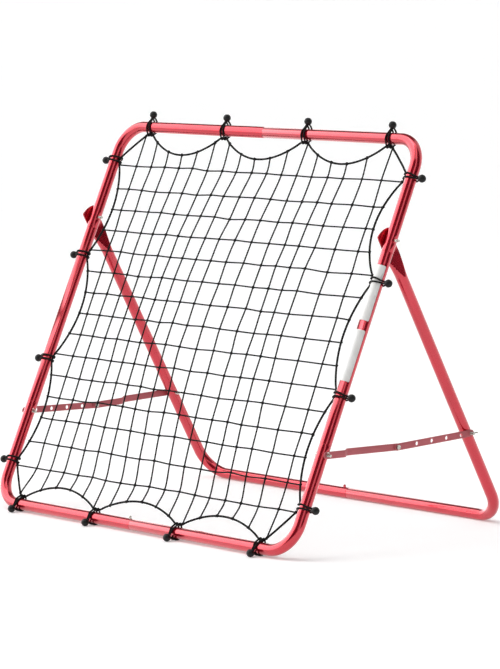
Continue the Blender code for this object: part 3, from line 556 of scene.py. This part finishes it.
def build_front_tubes():
    low, high = SIDE_SEAMS
    top, split = FRAME_HEIGHT, GAP / 2
    for side, toward in SIDES:
        x = toward * half_width
        name = "frame_top_" + side
        run = Run((x, high + split), (TOP_SEAM_X + toward * split, top), (x, top))
        meshes = [(name, tube_mesh(name, run, side == "left", [(x, PIVOT_UP)], [PIVOT_UP - high]))]
        name = "frame_bottom_" + side
        run = Run((x, low - split), (BOTTOM_SEAM_X + toward * split, 0), (x, 0))
        from_seam = abs(BOTTOM_SEAM_X - FRONT_BUTTON_X)
        marks = [low - STAY_UP] + ([run.length - from_seam] if side == "left" else [])
        mesh = tube_mesh(name, run, side == "right", [(x, STAY_UP)], marks)
        meshes.append((name, drill(name, mesh, front_axes, front_button)))
        name = "frame_side_" + side
        meshes.append((name, side_tube_mesh(name, Run((x, low + split), (x, high - split)))))
        for name, mesh in meshes:
            piece(name + "_painted", mesh, "front_frame", front_axes, [name])


def side_tube_mesh(name, run):
    """A straight side tube with a swaged spigot at both ends."""
    end = run.length
    upper = [(end / 2, TUBE_RADIUS), (end - TUBE_LIP, TUBE_RADIUS), (end, TUBE_RADIUS - TUBE_LIP),
             (end, SPIGOT_RADIUS), (end + SPIGOT_LENGTH, SPIGOT_RADIUS), (end + SPIGOT_LENGTH, SPIGOT_BORE),
             (end, SPIGOT_BORE), (end - 0.004, BORE_RADIUS)]
    profile = upper + [(end - along, radius) for along, radius in reversed(upper)]
    return lofted(name, RED, 40.0, [run.section(along, radius) for along, radius in profile],
                  [along for along, _ in profile] + [end / 2], loop=True)


def pressed_ring(run_x, head):
    """Ring of a leg at a distance below its pivot: pressed flat, with a planar ramp to the tube."""
    share = share_of(head, TONGUE_FLAT_END, ROUND_FROM)
    wide = TONGUE_HALF_WIDTH + (TUBE_RADIUS - TONGUE_HALF_WIDTH) * share * share * (3 - 2 * share)
    ramp_share = share_of(head, RAMP_FROM, RAMP_END)
    deep = TONGUE_HALF_THICKNESS + (TUBE_RADIUS - TONGUE_HALF_THICKNESS) * ramp_share
    crease = math.acos(deep / TUBE_RADIUS)
    step = math.tau / TUBE_SIDES
    creased = round(crease / step)
    ring = []
    for i in range(TUBE_SIDES):
        quarter, k = divmod(i, TUBE_SIDES // 4)
        k = k if quarter % 2 == 0 else TUBE_SIDES // 4 - k
        turn = crease if k == creased else k * step
        c, s = math.cos(turn), math.sin(turn)
        across = min(TUBE_RADIUS * c, deep) * (-1 if quarter in (1, 2) else 1)
        ring.append([run_x - across, head, wide * s * (-1 if quarter in (2, 3) else 1)])
    return ring


def leg_start_rings(x):
    """The tongue's crowned tip, its flat and its swell into the round tube."""
    rings = []
    tip = -TONGUE_REACH
    for inset, share in ((0.0, 0.30), (0.0003, 0.72), (0.0009, 1.0)):
        ring = pressed_ring(x, tip + inset)
        for point in ring:
            point[0] = x + (point[0] - x) * share
        rings.append(ring)
    heads = [*np.linspace(tip + 0.004, RAMP_FROM, 6), *np.linspace(RAMP_FROM, ROUND_FROM, 34)[1:]]
    rings += [pressed_ring(x, head) for head in heads]
    for ring in rings[:9]:
        for point in ring:
            fade = min(1.0, max(0.0, (TONGUE_FLAT_END - point[1]) / (TONGUE_FLAT_END + TONGUE_REACH)))
            edge = min(1.0, abs(point[2]) / TONGUE_HALF_WIDTH)
            point[1] += TONGUE_CROWN * edge ** 2 * fade ** 3
            if point[1] < tip + TONGUE_CROWN + 0.004:
                point[2] *= 1.0 - 0.12 * edge * max(0.0, 1.0 - (point[1] - tip) / 0.008)
    return rings


def build_rear_legs():
    for side, toward in SIDES:
        x = toward * half_width + LEG_SHIFT
        seam = REAR_SEAM_X + toward * GAP / 2
        run = Run((x, ROUND_FROM), (seam, leg_length), (x, leg_length))
        from_seam = abs(REAR_SEAM_X - REAR_BUTTON_X)
        marks = [STAY_DOWN - ROUND_FROM] + ([run.length - from_seam] if side == "left" else [])
        name = "rear_leg_" + side
        mesh = tube_mesh(name, run, side == "right", [(x, STAY_DOWN)], marks, leg_start_rings(x), rear_axes)
        mesh = drill(name, mesh, rear_axes, rear_button)
        piece(name + "_painted", mesh, "rear_frame", rear_axes, [name])


# Stay bars

def bar_ring(x, y, half):
    """Ring of a flat bar with softened edges."""
    soft = min(0.0005, 0.45 * half)
    deep = BAR_THICKNESS / 2
    corners = ((-1, -1), (1, -1), (1, 1), (-1, 1))
    ring = []
    for a, b in corners:
        arc = [(a * deep, b * (half - soft)), (a * (deep - 0.3 * soft), b * (half - 0.3 * soft)),
               (a * (deep - soft), b * half)]
        ring += arc if a * b > 0 else arc[::-1]
    return [(x + across, y, up) for across, up in ring]


def bar_mesh(name, length, near, far, joggle=(), punches=()):
    """A flat bar with round ends; a plain one is joggled, a perforated one punched between its bolts."""
    middle = BAR_HALF_WIDTH - BAR_TIP
    turns = [math.radians(angle) for angle in (4, 12, 24, 36, 48, 60, 72, 81, 90)]
    spots = [(middle - BAR_HALF_WIDTH * math.cos(a), BAR_HALF_WIDTH * math.sin(a)) for a in turns]
    ends = [(length - y, half) for y, half in reversed(spots)]
    if joggle:
        spots += [(y, BAR_HALF_WIDTH) for y in np.linspace(joggle[0], joggle[1], 17)]
    rings = []
    for y, half in spots + ends:
        share = share_of(y, *joggle) if joggle else 0.0
        x = near + (far - near) * share * share * (3 - 2 * share)
        rings.append(bar_ring(x, y, half))
    bar = lofted(name, STAY_RED, 30.0, rings, [y for y, _ in spots + ends])
    holes = [(near, 0.0, HOLE_RADIUS), (far, length, HOLE_RADIUS)]
    holes += [(near, y, PUNCH_RADIUS) for y in punches]
    cutters = []
    for x, y, radius in holes:
        punch = [[(x + a, y + radius * math.cos(t), radius * math.sin(t)) for t in full_turn(28)]
                 for a in (-0.004, 0.004)]
        cutters.append(lofted(name + "_punch", STAY_RED, 35.0, punch))
    return combined(bar, cutters, 30)


def stay_layout(side, span):
    """Bar lengths, and the X places of the front bar and the rear bar at their bolts and at the elbow."""
    outward = 1 if side == "right" else -1
    tube_x = outward * (TUBE_FLAT + GAP + BAR_THICKNESS / 2)
    leg_x = LEG_SHIFT + tube_x
    step = BAR_THICKNESS + GAP
    reach = ELBOW_SHARE[side] * span
    lengths = (math.hypot(reach, ELBOW_SAG), math.hypot(span - reach, ELBOW_SAG))
    if side == "right":
        return lengths, (tube_x, leg_x - step), (leg_x, leg_x)
    return lengths, (tube_x, tube_x), (leg_x, tube_x + step)


def build_stays():
    up = PIVOT_UP - STAY_UP
    span = math.sqrt(up ** 2 + STAY_DOWN ** 2 - 2 * up * STAY_DOWN * math.cos(OPEN_ANGLE))
    at_front = math.acos((up ** 2 + span ** 2 - STAY_DOWN ** 2) / (2 * up * span))
    at_leg = math.pi - OPEN_ANGLE - at_front
    for side, toward in SIDES:
        x = toward * half_width
        lengths, front_places, rear_places = stay_layout(side, span)
        front_turn = at_front + math.asin(ELBOW_SAG / lengths[0])
        rear_turn = at_leg + math.asin(ELBOW_SAG / lengths[1])
        front = front_axes @ shifted(x, STAY_UP, 0) @ turned(-front_turn)
        rear = rear_axes @ shifted(x, STAY_DOWN, 0) @ turned(math.pi + rear_turn)
        rear_joggle = [lengths[1] - back for back in REAR_JOGGLE]
        for where, length, places, axes, joggle in (("front", lengths[0], front_places, front, FRONT_JOGGLE),
                                                    ("rear", lengths[1], rear_places, rear, rear_joggle)):
            if (where == "front") == (side == "right"):
                name = "stay_plain_" + side
                mesh = bar_mesh(name, length, *places, joggle=joggle)
            else:
                name = "stay_perforated_" + side
                mesh = bar_mesh(name, length, *places, punches=PUNCHES)
            piece(name + "_bar", mesh, f"{where}_stay_{side}", axes, [name])
        elbow_hardware(side, front, rear, lengths, front_places[1], rear_places[1])
        grip = clamp_grip(side, LEG_SHIFT)
        bolt_and_wing_nut("stay_rear", side, "rear_frame", rear_axes, (x, STAY_DOWN), grip)


def elbow_hardware(side, front, rear, lengths, front_x, rear_x):
    """The elbow's bolt rides the rear bar and its nut the front one."""
    depth = BAR_THICKNESS / 2 + GAP
    thread_end = BAR_THICKNESS + GAP
    at_bolt = rear @ shifted(rear_x + depth, lengths[1], 0) @ turned(math.pi, "Z")
    name = f"elbow_bolt_{side}"
    piece(name + "_plated", bolt_mesh(0.0, thread_end), f"rear_stay_{side}", at_bolt, [name])
    at_nut = front @ shifted(front_x - depth, lengths[0], 0)
    name = f"elbow_nut_{side}"
    piece(name + "_plated", nut_mesh(NUT_HEIGHT, thread_end), f"front_stay_{side}", at_nut, [name])


# Bolts, nuts and buttons

def turned_rings(profile, sides=48, hexagon=None):
    """Rings about X from (x, radius) pairs; where hexagon is given, rings wider than the shank follow it."""
    rings = []
    for x, radius in profile:
        ring = []
        for i in range(sides):
            angle = math.tau * i / sides
            reach = radius
            if hexagon and radius > 1.2 * BOLT_RADIUS:
                flat = hexagon * math.cos(math.pi / 6) / math.cos((angle % (math.pi / 3)) - math.pi / 6)
                reach = min(radius, flat)
            ring.append((x, reach * math.cos(angle), reach * math.sin(angle)))
        rings.append(ring)
    return rings


def lathed(name, profile, material, smooth_angle, sides=48, hexagon=None):
    """A mesh turned about X."""
    rings = turned_rings(profile, sides, hexagon)
    return lofted(name, material, smooth_angle, rings, [x for x, _ in profile])


def thread(low, high, pitch=0.001):
    """Zigzag profile of a screw thread between two places."""
    profile = []
    for i in range(max(1, int((high - low) / pitch))):
        profile += [(low + pitch * i, BOLT_RADIUS - 0.00022), (low + pitch * (i + 0.5), BOLT_RADIUS)]
    return profile + [(high, BOLT_RADIUS - 0.0004)]


def bolt_mesh(grip_low, grip_high):
    """Hexagon bolt: chamfered head, plain shank, thread at the end."""
    head = grip_low - HEAD_HEIGHT
    wide = HEAD_RADIUS * 1.02
    profile = [(head, 0.0012), (head, 0.80 * HEAD_RADIUS), (head + 0.0007, wide),
               (grip_low - 0.0008, wide), (grip_low - 0.0006, 0.95 * HEAD_RADIUS),
               (grip_low, 0.95 * HEAD_RADIUS), (grip_low, BOLT_RADIUS)]
    threaded = max(grip_low + 0.0005, grip_high - 0.013)
    profile += [(threaded, BOLT_RADIUS), *thread(threaded, grip_high)]
    return lathed("hexagon_bolt", profile, ZINC, 28.0, hexagon=HEAD_RADIUS)


def nut_mesh(height, stub):
    """Locking nut on the bolt's last thread, with a domed collar."""
    wide = HEAD_RADIUS * 1.02
    profile = [(stub, BOLT_RADIUS - 0.0003), (stub - 0.0004, BOLT_RADIUS), (0.0, BOLT_RADIUS),
               (0.0, 0.88 * HEAD_RADIUS), (-0.0006, wide), (-0.68 * height, wide),
               (-0.80 * height, 0.9 * HEAD_RADIUS), (-0.93 * height, 0.76 * HEAD_RADIUS),
               (-height, 0.66 * HEAD_RADIUS), (-height, BOLT_RADIUS * 1.05),
               (-0.90 * height, BOLT_RADIUS), (-0.90 * height, 0.001)]
    return lathed("hexagon_nut", profile, ZINC, 28.0, hexagon=HEAD_RADIUS)


def wing_nut_mesh():
    """A cast wing nut along X: two ears that flare along the axis, on a round hub with a threaded hole."""
    profile = [(-0.0006, 0.0052), (0.0, 0.0059), (0.0016, 0.0059), (0.0030, 0.0055), (0.0072, 0.0046),
               (0.0080, 0.0041), (0.0080, 0.0034), (0.0074, 0.0031), (0.0, 0.0031), (-0.0006, 0.0034)]
    places = [x for x, _ in profile] + [0.0]
    hub = lofted("wing_hub", ZINC, 30.0, turned_rings(profile, 32), places, loop=True)
    # One wing in (x, y): up from the hub, round the ear and back down
    ear_x, ear_y, ear = 0.0090, 0.0086, 0.0032
    arc = [math.radians(angle) - 0.5 for angle in range(-70, 141, 15)]
    outline = [(0.0012, 0.0030), (0.0014, 0.0060)]
    outline += [(ear_x + ear * math.sin(a), ear_y + 0.85 * ear * math.cos(a)) for a in reversed(arc)]
    outline += [(0.0078, 0.0042), (0.0070, 0.0030)]
    middle = np.mean(outline, axis=0)
    ears = []
    for side in (-1, 1):
        rings = []
        for z, inset in ((-0.0011, 0.0004), (-0.0008, 0.0), (0.0008, 0.0), (0.0011, 0.0004)):
            ring = []
            for x, y in outline:
                toward = np.array([x, y]) - middle
                spot = middle + toward * (1 - inset / np.linalg.norm(toward))
                ring.append((spot[0], side * spot[1], z))
            rings.append(ring)
        ears.append(lofted("wing_ear", ZINC, 30.0, rings))
    # Open fault: the outline above crosses itself, because its arc runs backwards, so this union loses the
    # hub and nearly all of the second ear
    made = combined(hub, ears, 32, "UNION")
    made.name = "wing_nut"
    return made


WING_NUT = wing_nut_mesh()


def clamp_grip(side, shift=0.0):
    """Low and high ends of a stay bolt's grip through a tube and the bar on its outer side."""
    bare = TUBE_RADIUS + GAP
    barred = TUBE_FLAT + BAR_THICKNESS + 2 * GAP
    if side == "left":
        return shift - barred, shift + bare
    return shift - bare, shift + barred


def bolt_and_wing_nut(kind, side, body, axes, place, grip):
    """A bolt along X with its head at the low end of its grip and its wing nut at the high end."""
    low, high = grip
    x, y = place
    name = f"{kind}_bolt_{side}"
    piece(name + "_plated", bolt_mesh(low, high + BOLT_REACH), body, axes @ shifted(x, y, 0), [name])
    name = f"{kind}_wing_nut_{side}"
    at_nut = axes @ shifted(x + high, y, 0) @ turned(math.radians(WING_TURNS[kind]))
    piece(name + "_cast", WING_NUT, name, at_nut, [name])


def build_front_bolts():
    pivot_grip = (LEG_SHIFT - TONGUE_HALF_THICKNESS - GAP, TUBE_RADIUS + GAP)
    for side, toward in SIDES:
        x = toward * half_width
        bolt_and_wing_nut("pivot", side, "front_frame", front_axes, (x, PIVOT_UP), pivot_grip)
        bolt_and_wing_nut("stay_front", side, "front_frame", front_axes, (x, STAY_UP), clamp_grip(side))


def build_buttons():
    """Domed snap buttons in the floor bars; the rear one was sprayed with its bar."""
    top = TUBE_RADIUS + BUTTON_PROUD
    round_off = [math.radians(angle) for angle in range(0, 90, 12)]
    dome = [(top - 0.0022 + 0.0022 * math.sin(a), BUTTON_RADIUS * (0.25 + 0.75 * math.cos(a)))
            for a in round_off]
    profile = [(0.0078, 0.0042), (0.0087, 0.0042), (0.0087, BUTTON_RADIUS), *dome, (top, 0.0007)]
    for where, centre, metal, slot in (("front", front_button, ZINC, "zinc"),
                                       ("rear", rear_button, RED, "red_paint")):
        name = f"{where}_snap_button"
        matrix = shifted(*centre) @ turned(-math.pi / 2, "Y")
        piece(name + "_domed", lathed(name, profile, metal, 40.0, 32), name, matrix, [name])
        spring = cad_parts[f"{where}_button_spring"]
        spring.data.materials.clear()
        spring.data.materials.append(ZINC)


def build_labels():
    """Blank vinyl wraps with rounded corners, from the front of the right tube round to its outer side."""
    inner, thick, corner = TUBE_RADIUS + 0.00008, 0.00022, 0.0030
    first, last, count = math.radians(-45), math.radians(77), 25
    outer = inner + thick
    for name, (low, high) in LABELS.items():
        shape = Shape()
        rings = []
        spots = [0.0, 0.0003, 0.0008, 0.0015, 0.0022, corner]
        heights = [low + spot for spot in spots] + [high - spot for spot in reversed(spots)]
        for y in heights:
            end = min(y - low, high - y)
            pull = corner - math.sqrt(max(0.0, corner ** 2 - max(0.0, corner - end) ** 2))
            turn = pull / inner
            angles = np.linspace(first + turn, last - turn, count)
            outside = [(half_width + outer * math.sin(a), y, outer * math.cos(a)) for a in angles]
            inside = [(half_width + inner * math.sin(a), y, inner * math.cos(a)) for a in reversed(angles)]
            rings.append(outside + inside)
        shape.loft(rings, heights, caps=False)
        for start in (0, (len(rings) - 1) * 2 * count):
            for i in range(count - 1):
                corners = (start + i, start + i + 1, start + 2 * count - 2 - i, start + 2 * count - 1 - i)
                shape.faces.append(corners)
                shape.uvs.append(((0.0, 0.0),) * 4)
        mesh = shape.mesh(name, VINYL, 50.0)
        piece(name + "_vinyl", mesh, "front_frame", front_axes, [name])


# Net

def sagged(value, hooks, sags):
    """How far the rope hangs off the line of its hooks, at a place along that line."""
    for number, (low, high) in enumerate(zip(hooks, hooks[1:])):
        if low <= value <= high:
            t = share_of(value, low + HOOK_FLAT, high - HOOK_FLAT)
            return sags[number] * 4 * t * (1 - t)
    return 0.0


ROPE_SIDE = half_width - HOOK_INSET
ROPE_TOP = FRAME_HEIGHT - HOOK_INSET
ROPE_BOTTOM = HOOK_INSET


def straight_cut(value, start, end):
    return start[1] + (end[1] - start[1]) * ((value - start[0]) / (end[0] - start[0]))


def rope_height(x, ties, level, side_hook, hang):
    """Height of the rope's top or bottom at x: hooks, scallops between them and a cut at each corner."""
    if x < ties[0] - HOOK_FLAT:
        return straight_cut(x, (ties[0] - HOOK_FLAT, level), (-ROPE_SIDE, side_hook))
    if x > ties[-1] + HOOK_FLAT:
        return straight_cut(x, (ties[-1] + HOOK_FLAT, level), (ROPE_SIDE, side_hook))
    return level + sagged(x, ties, (hang,) * 3)


def rope_top(x):
    return rope_height(x, TOP_TIES, ROPE_TOP, SIDE_TIES[-1] + HOOK_FLAT, -TOP_SAG)


def rope_bottom(x):
    return rope_height(x, BOTTOM_TIES, ROPE_BOTTOM, SIDE_TIES[0] - HOOK_FLAT, BOTTOM_SAG)


def rope_side(y, side, corner_tie, sags):
    """Reach of the rope's left (-1) or right (1) side at a height y."""
    side_hook = SIDE_TIES[0] - HOOK_FLAT
    if y < side_hook:
        return straight_cut(y, (ROPE_BOTTOM, corner_tie + side * HOOK_FLAT), (side_hook, side * ROPE_SIDE))
    return side * (ROPE_SIDE - sagged(y, SIDE_TIES, sags))


def rope_left(y):
    return rope_side(y, -1, BOTTOM_TIES[0], LEFT_SAGS)


def rope_right(y):
    return rope_side(y, 1, BOTTOM_TIES[-1], RIGHT_SAGS)


def row_heights():
    heights = [TOP_ROW]
    for row in range(1, ROWS):
        ends = row == 1 or row > ROWS - 3
        heights.append(heights[-1] - (END_PITCH if ends else ROW_PITCH))
    return heights


def column_place(column, down):
    """A column's place along X at a share of the way down the net."""
    beyond = max(0, column - EVEN_COLUMNS)
    x = COLUMN_FIRST + COLUMN_PITCH * column + FOOT_SHIFT * down + EDGE_STRETCH * beyond ** 1.5
    pull = sum(reach * math.exp(-((column - centre) / width) ** 2) for centre, reach, width in PULLS)
    return x - pull * 4 * down * (1 - down)


def column_end(column, down, lean, ties):
    """Where a column meets the rope: it leans over, and keeps clear of the ties."""
    if column == 0:
        return ties[0] - TIE_CLEARANCE
    if column == COLUMNS - 1:
        return ties[-1] + TIE_CLEARANCE
    x = column_place(column, down) + lean
    for tie in ties:
        if abs(x - tie) < TIE_CLEARANCE:
            x = tie + math.copysign(TIE_CLEARANCE, x - tie)
    return x


def bay_places(hooks):
    """Places along a row of hooks: close together at each hook and spread over the bays."""
    places = []
    for low, high in zip(hooks, hooks[1:]):
        places += list(np.linspace(low + HOOK_FLAT, high - HOOK_FLAT, 15))
    return [hooks[0] - HOOK_FLAT, *places, hooks[-1] + HOOK_FLAT]


def rope_centres():
    """The rope's closed route, clockwise from the top left, seen from the front."""
    route = [(x, rope_top(x)) for x in bay_places(TOP_TIES)]
    route += [(rope_right(y), y) for y in reversed(bay_places(SIDE_TIES))]
    route += [(x, rope_bottom(x)) for x in reversed(bay_places(BOTTOM_TIES))]
    route += [(rope_left(y), y) for y in bay_places(SIDE_TIES)]
    return smooth_loop([(x, y, 0.0) for x, y in route], 3)


def curve_parts(points, steps):
    """Catmull-Rom points between the second and the last but one of some points."""
    made = []
    for p, q, r, s in zip(points, points[1:], points[2:], points[3:]):
        for step in range(steps):
            t = step / steps
            made.append(0.5 * (2 * q + (r - p) * t + (2 * p - 5 * q + 4 * r - s) * t ** 2
                               + (3 * q - p - 3 * r + s) * t ** 3))
    return made


def smooth_loop(points, steps):
    """A closed curve through points."""
    points = np.array(points)
    return np.array(curve_parts(np.concatenate([points[-1:], points, points[:2]]), steps))


def smooth_line(points, steps):
    """An open curve through points."""
    points = np.array(points)
    padded = np.vstack([2 * points[0] - points[1], points, 2 * points[-1] - points[-2]])
    return np.array(curve_parts(padded, steps) + [points[-1]])


def knot(shape, centre, size, radius, turn):
    """A small hard knot: a cord of that radius drawn into a three-lobed overhand knot."""
    t = full_turn(21)
    x = size * (np.sin(t) + 2 * np.sin(2 * t)) / 3
    y = size * (np.cos(t) - 2 * np.cos(2 * t)) / 3
    z = -0.55 * size * np.sin(3 * t)
    c, s = math.cos(turn), math.sin(turn)
    centres = np.stack([centre[0] + c * x - s * y, centre[1] + s * x + c * y, centre[2] + z], 1)
    cord(shape, centres, radius, (0.02, 0.01, 1.0), closed=True, sides=6)


def build_net():
    heights = row_heights()
    spots = {}
    for column in range(COLUMNS):
        for row in range(ROWS):
            jitter = shake.normal(0.0, 1.0, 3).clip(-2.0, 2.0) * STRAY
            x = column_place(column, row / (ROWS - 1))
            spots[column, row] = np.array([x, heights[row], 0.0]) + jitter
    ends = []
    columns, rows, knots, rope = Shape(), Shape(), Shape(), Shape()
    for column in range(COLUMNS):
        top_x = column_end(column, 0.0, TOP_LEAN, TOP_TIES)
        bottom_x = column_end(column, 1.0, BOTTOM_LEAN, BOTTOM_TIES)
        first = (top_x, rope_top(top_x), 0.0)
        last = (bottom_x, rope_bottom(bottom_x), 0.0)
        line = smooth_line([first, *(spots[column, row] for row in range(ROWS)), last], 4)
        cord(columns, line, STRING_RADIUS, (0, 0, 1), sides=8)
        ends += [first, last]
    for row in range(ROWS):
        y = heights[row]
        first, last = (rope_left(y), y, 0.0), (rope_right(y), y, 0.0)
        line = smooth_line([first, *(spots[column, row] for column in range(COLUMNS)), last], 4)
        cord(rows, line, STRING_RADIUS, (0, 0, 1), sides=8)
        ends += [first, last]
    for places, size, radius in ((spots.values(), *MESH_KNOT), (ends, *ROPE_KNOT)):
        for spot in places:
            knot(knots, spot, size, radius, shake.uniform(0, math.tau))
    cord(rope, rope_centres(), ROPE_RADIUS, (0, 0, 1), closed=True)
    for name, shape, material in (("net_columns", columns, NET_CORD), ("net_rows", rows, NET_CORD),
                                  ("net_knots", knots, NET_CORD), ("net_edge_rope", rope, ROPE_CORD)):
        piece(name, shape.mesh(name, material, 60.0), "front_frame", front_axes, ["net"])


# Ties

def loop_reach(angle, ball_angle, ball_end):
    """Distance of a tie's cord from the tube's axis: round the tube, out to the ball and round the rope."""
    reach = TIE_LOOP_RADIUS
    for target, distance in ((ball_angle, ball_end), (math.pi, TIE_HOOK_REACH)):
        off = abs((angle - target + math.pi) % math.tau - math.pi)
        limit = math.acos(TIE_LOOP_RADIUS / distance)
        if off < limit:
            reach = max(reach, TIE_LOOP_RADIUS / math.cos(limit - off))
    return reach


def tie_strand(shape, ball_angle, ball_end, shift, sag):
    """One strand: a closed loop of elastic round the tube (axis Y) and the rope at -X, out to the ball."""
    steps = 72
    centres = []
    for i in range(steps):
        angle = ball_angle + math.tau * i / steps
        reach = loop_reach(angle, ball_angle, ball_end)
        near_ball = max(0.0, math.cos((angle - ball_angle) / 2)) ** 8
        near_rope = max(0.0, math.cos((angle - math.pi) / 2)) ** 10
        y = shift * (1 - 0.55 * near_ball) * (1 + 0.10 * near_rope) + sag * near_ball
        centres.append((reach * math.cos(angle), y, reach * math.sin(angle)))
    centres = np.array(centres)
    for _ in range(2):
        centres = (np.roll(centres, 1, axis=0) + 2 * centres + np.roll(centres, -1, axis=0)) / 4
    cord(shape, centres, TIE_CORD_RADIUS, (0, 1, 0), closed=True, sides=12)


def ball_mesh(name, ball_angle, reach, sag):
    """Moulded ball: nearly round, with a parting rib and a countersunk hole where the cord goes in."""
    out = np.array([math.cos(ball_angle), 0.0, math.sin(ball_angle)])
    side = np.array([0.0, 1.0, 0.0])
    up = np.cross(out, side)
    rings = []
    for i in range(29):
        polar = math.pi * (i + 0.25) / 28.5
        axial, radial = -math.cos(polar), math.sin(polar)
        deep, wide = (0.22, 0.30) if axial < 0 else (0.06, 0.25)
        axial *= 1 - deep * math.exp(-(radial / wide) ** 2)
        rib = 0.018 * math.exp(-(axial / 0.05) ** 2)
        ring = []
        for k in range(36):
            turn = math.tau * k / 36
            spot = out * axial + (side * math.cos(turn) + up * math.sin(turn)) * radial * (1 + rib)
            ring.append(out * reach + side * sag + spot * BALL_RADIUS)
        rings.append(ring)
    return lofted(name, BLACK_PLASTIC, 50.0, rings)


def build_tie(name, ball_angle, reach, matrix, sag=0.0):
    """Two strands of elastic and a ball; sag is how far the ball hangs along the tube."""
    strands = Shape()
    for side in (-1, 1):
        tie_strand(strands, ball_angle, reach - 0.6 * BALL_RADIUS, side * TIE_LOOP_SPREAD, sag)
    lift_to_floor(strands.points, matrix)
    piece(name + "_elastic", strands.mesh(name, ELASTIC, 60.0), "front_frame", matrix, [name])
    ball = name + "_ball"
    piece(ball, ball_mesh(ball, ball_angle, reach, sag), "front_frame", matrix, [name])


def build_ties():
    quarter = math.pi / 2
    for number, x in enumerate(TOP_TIES, 1):
        matrix = front_axes @ shifted(x, FRAME_HEIGHT, 0) @ turned(quarter, "Z")
        build_tie(f"tie_top_{number}", TOP_BALL_ANGLE, TOP_BALL_REACH, matrix)
    for number, y in enumerate(SIDE_TIES, 1):
        matrix = front_axes @ shifted(-half_width, y, 0) @ turned(math.pi, "Z")
        build_tie(f"tie_left_{number}", 0.0, BALL_REACH, matrix, LEFT_BALL_SAG)
        matrix = front_axes @ shifted(half_width, y, 0)
        build_tie(f"tie_right_{number}", 0.0, BALL_REACH, matrix, RIGHT_BALL_SAG)
    for number, x in enumerate(BOTTOM_TIES, 1):
        matrix = front_axes @ shifted(x, 0, 0) @ turned(-quarter, "Z")
        build_tie(f"tie_bottom_{number}", FLOOR_BALL_ANGLE, FLOOR_BALL_REACH, matrix)


# Studio

FLOOR_REACH = 260.0


def build_floor():
    """A very wide pale floor, so that no edge of it shows from any side."""
    mesh = bpy.data.meshes.new("floor")
    corners = ((-1, -1), (1, -1), (1, 1), (-1, 1))
    mesh.from_pydata([(FLOOR_REACH * x, FLOOR_REACH * y, 0) for x, y in corners], [], [(0, 1, 2, 3)])
    pale = new_material("studio_floor", Roughness=0.9, Specular_IOR_Level=0.1, Emission_Strength=0.20,
                        Base_Color=(0.93, 0.93, 0.93, 1.0), Emission_Color=(1.0, 1.0, 1.0, 1.0))
    mesh.materials.append(pale)
    floor = in_scene("studio_floor", mesh)


def build_lamp():
    data = bpy.data.lights.new("overhead", "AREA")
    data.shape = "RECTANGLE"
    data.size = data.size_y = 3.0
    data.energy = 30
    lamp = in_scene("overhead", data)
    lamp.location = (0.4, -0.8, 4.0)
    lamp.rotation_euler = (-lamp.location).to_track_quat("-Z", "Y").to_euler()


# The studio's soft boxes and dark flags, near the horizon and higher up, as (degrees, brightness). The
# degrees run round from TOWARD_FRONT, at the frame's right front, towards TOWARD_SIDE, square to it
LOW_SKY = ((-180, 1.3), (-150, 2.6), (-70, 2.6), (-55, 0.04), (-4, 0.04), (2, 0.9), (26, 0.9), (32, 0.04),
           (80, 0.04), (88, 1.0), (180, 1.3))
HIGH_SKY = ((-180, 0.1), (-145, 0.1), (-130, 2.6), (-70, 2.6), (-55, 0.04), (0, 0.04), (8, 1.2), (24, 1.2),
            (32, 0.04), (80, 0.04), (88, 0.8), (140, 0.8), (155, 0.1), (180, 0.1))
SKY_PEAK = 3.0
TOWARD_FRONT = (0.7236, -0.690, 0.0)
TOWARD_SIDE = (0.690, 0.7236, 0.0)


def build_studio():
    world = bpy.data.worlds.new("studio")
    bpy.context.scene.world = world
    world.use_nodes = True
    tree = world.node_tree
    place = add(tree, "ShaderNodeTexCoord")
    parts = []
    for along in (TOWARD_FRONT, TOWARD_SIDE):
        part = add(tree, "ShaderNodeVectorMath", operation="DOT_PRODUCT")
        part.inputs[1].default_value = along
        link(tree, place, "Generated", part, 0)
        parts.append((part, "Value"))
    angle = arithmetic(tree, "ARCTAN2", parts[1], parts[0])
    turn = spread(tree, *angle, 0.0, 1.0, -math.pi, math.pi)
    heights = add(tree, "ShaderNodeSeparateXYZ")
    link(tree, place, "Generated", heights, "Vector")
    high = spread(tree, heights, "Z", 0.0, 1.0, 0.25, 0.5)
    mixed = add(tree, "ShaderNodeMixRGB")
    link(tree, high, "Result", mixed, "Fac")
    for socket, stops in (("Color1", LOW_SKY), ("Color2", HIGH_SKY)):
        shares = [((angle + 180) / 360, (value / SKY_PEAK,) * 3) for angle, value in stops]
        link(tree, ramp(tree, turn, "Result", shares), "Color", mixed, socket)
    backdrop = tree.nodes["Background"]
    link(tree, mixed, "Color", backdrop, "Color")
    backdrop.inputs["Strength"].default_value = SKY_PEAK
    bpy.context.scene.view_settings.view_transform = "Standard"


CAMERA_PLACE = (5.0004, -4.7557, 1.1612)
CAMERA_AZIMUTH = math.radians(46.346)
CAMERA_ELEVATION = math.radians(6.252)
FOCAL_PIXELS = 3147.6
PHOTO_HEIGHT = 669
SENSOR = 36.0


def build_camera():
    data = bpy.data.cameras.new("camera")
    data.sensor_width = SENSOR
    data.lens = SENSOR * FOCAL_PIXELS / PHOTO_HEIGHT
    data.clip_end = 2000.0
    camera = in_scene("camera", data)
    camera.location = CAMERA_PLACE
    level = math.cos(CAMERA_ELEVATION)
    across, ahead = -math.sin(CAMERA_AZIMUTH) * level, math.cos(CAMERA_AZIMUTH) * level
    look = Vector((across, ahead, -math.sin(CAMERA_ELEVATION)))
    camera.rotation_euler = look.to_track_quat("-Z", "Y").to_euler()
    bpy.context.scene.camera = camera


build_camera()
build_front_tubes()
build_rear_legs()
build_stays()
build_front_bolts()
build_buttons()
build_labels()
build_net()
build_ties()
build_floor()
build_studio()
build_lamp()
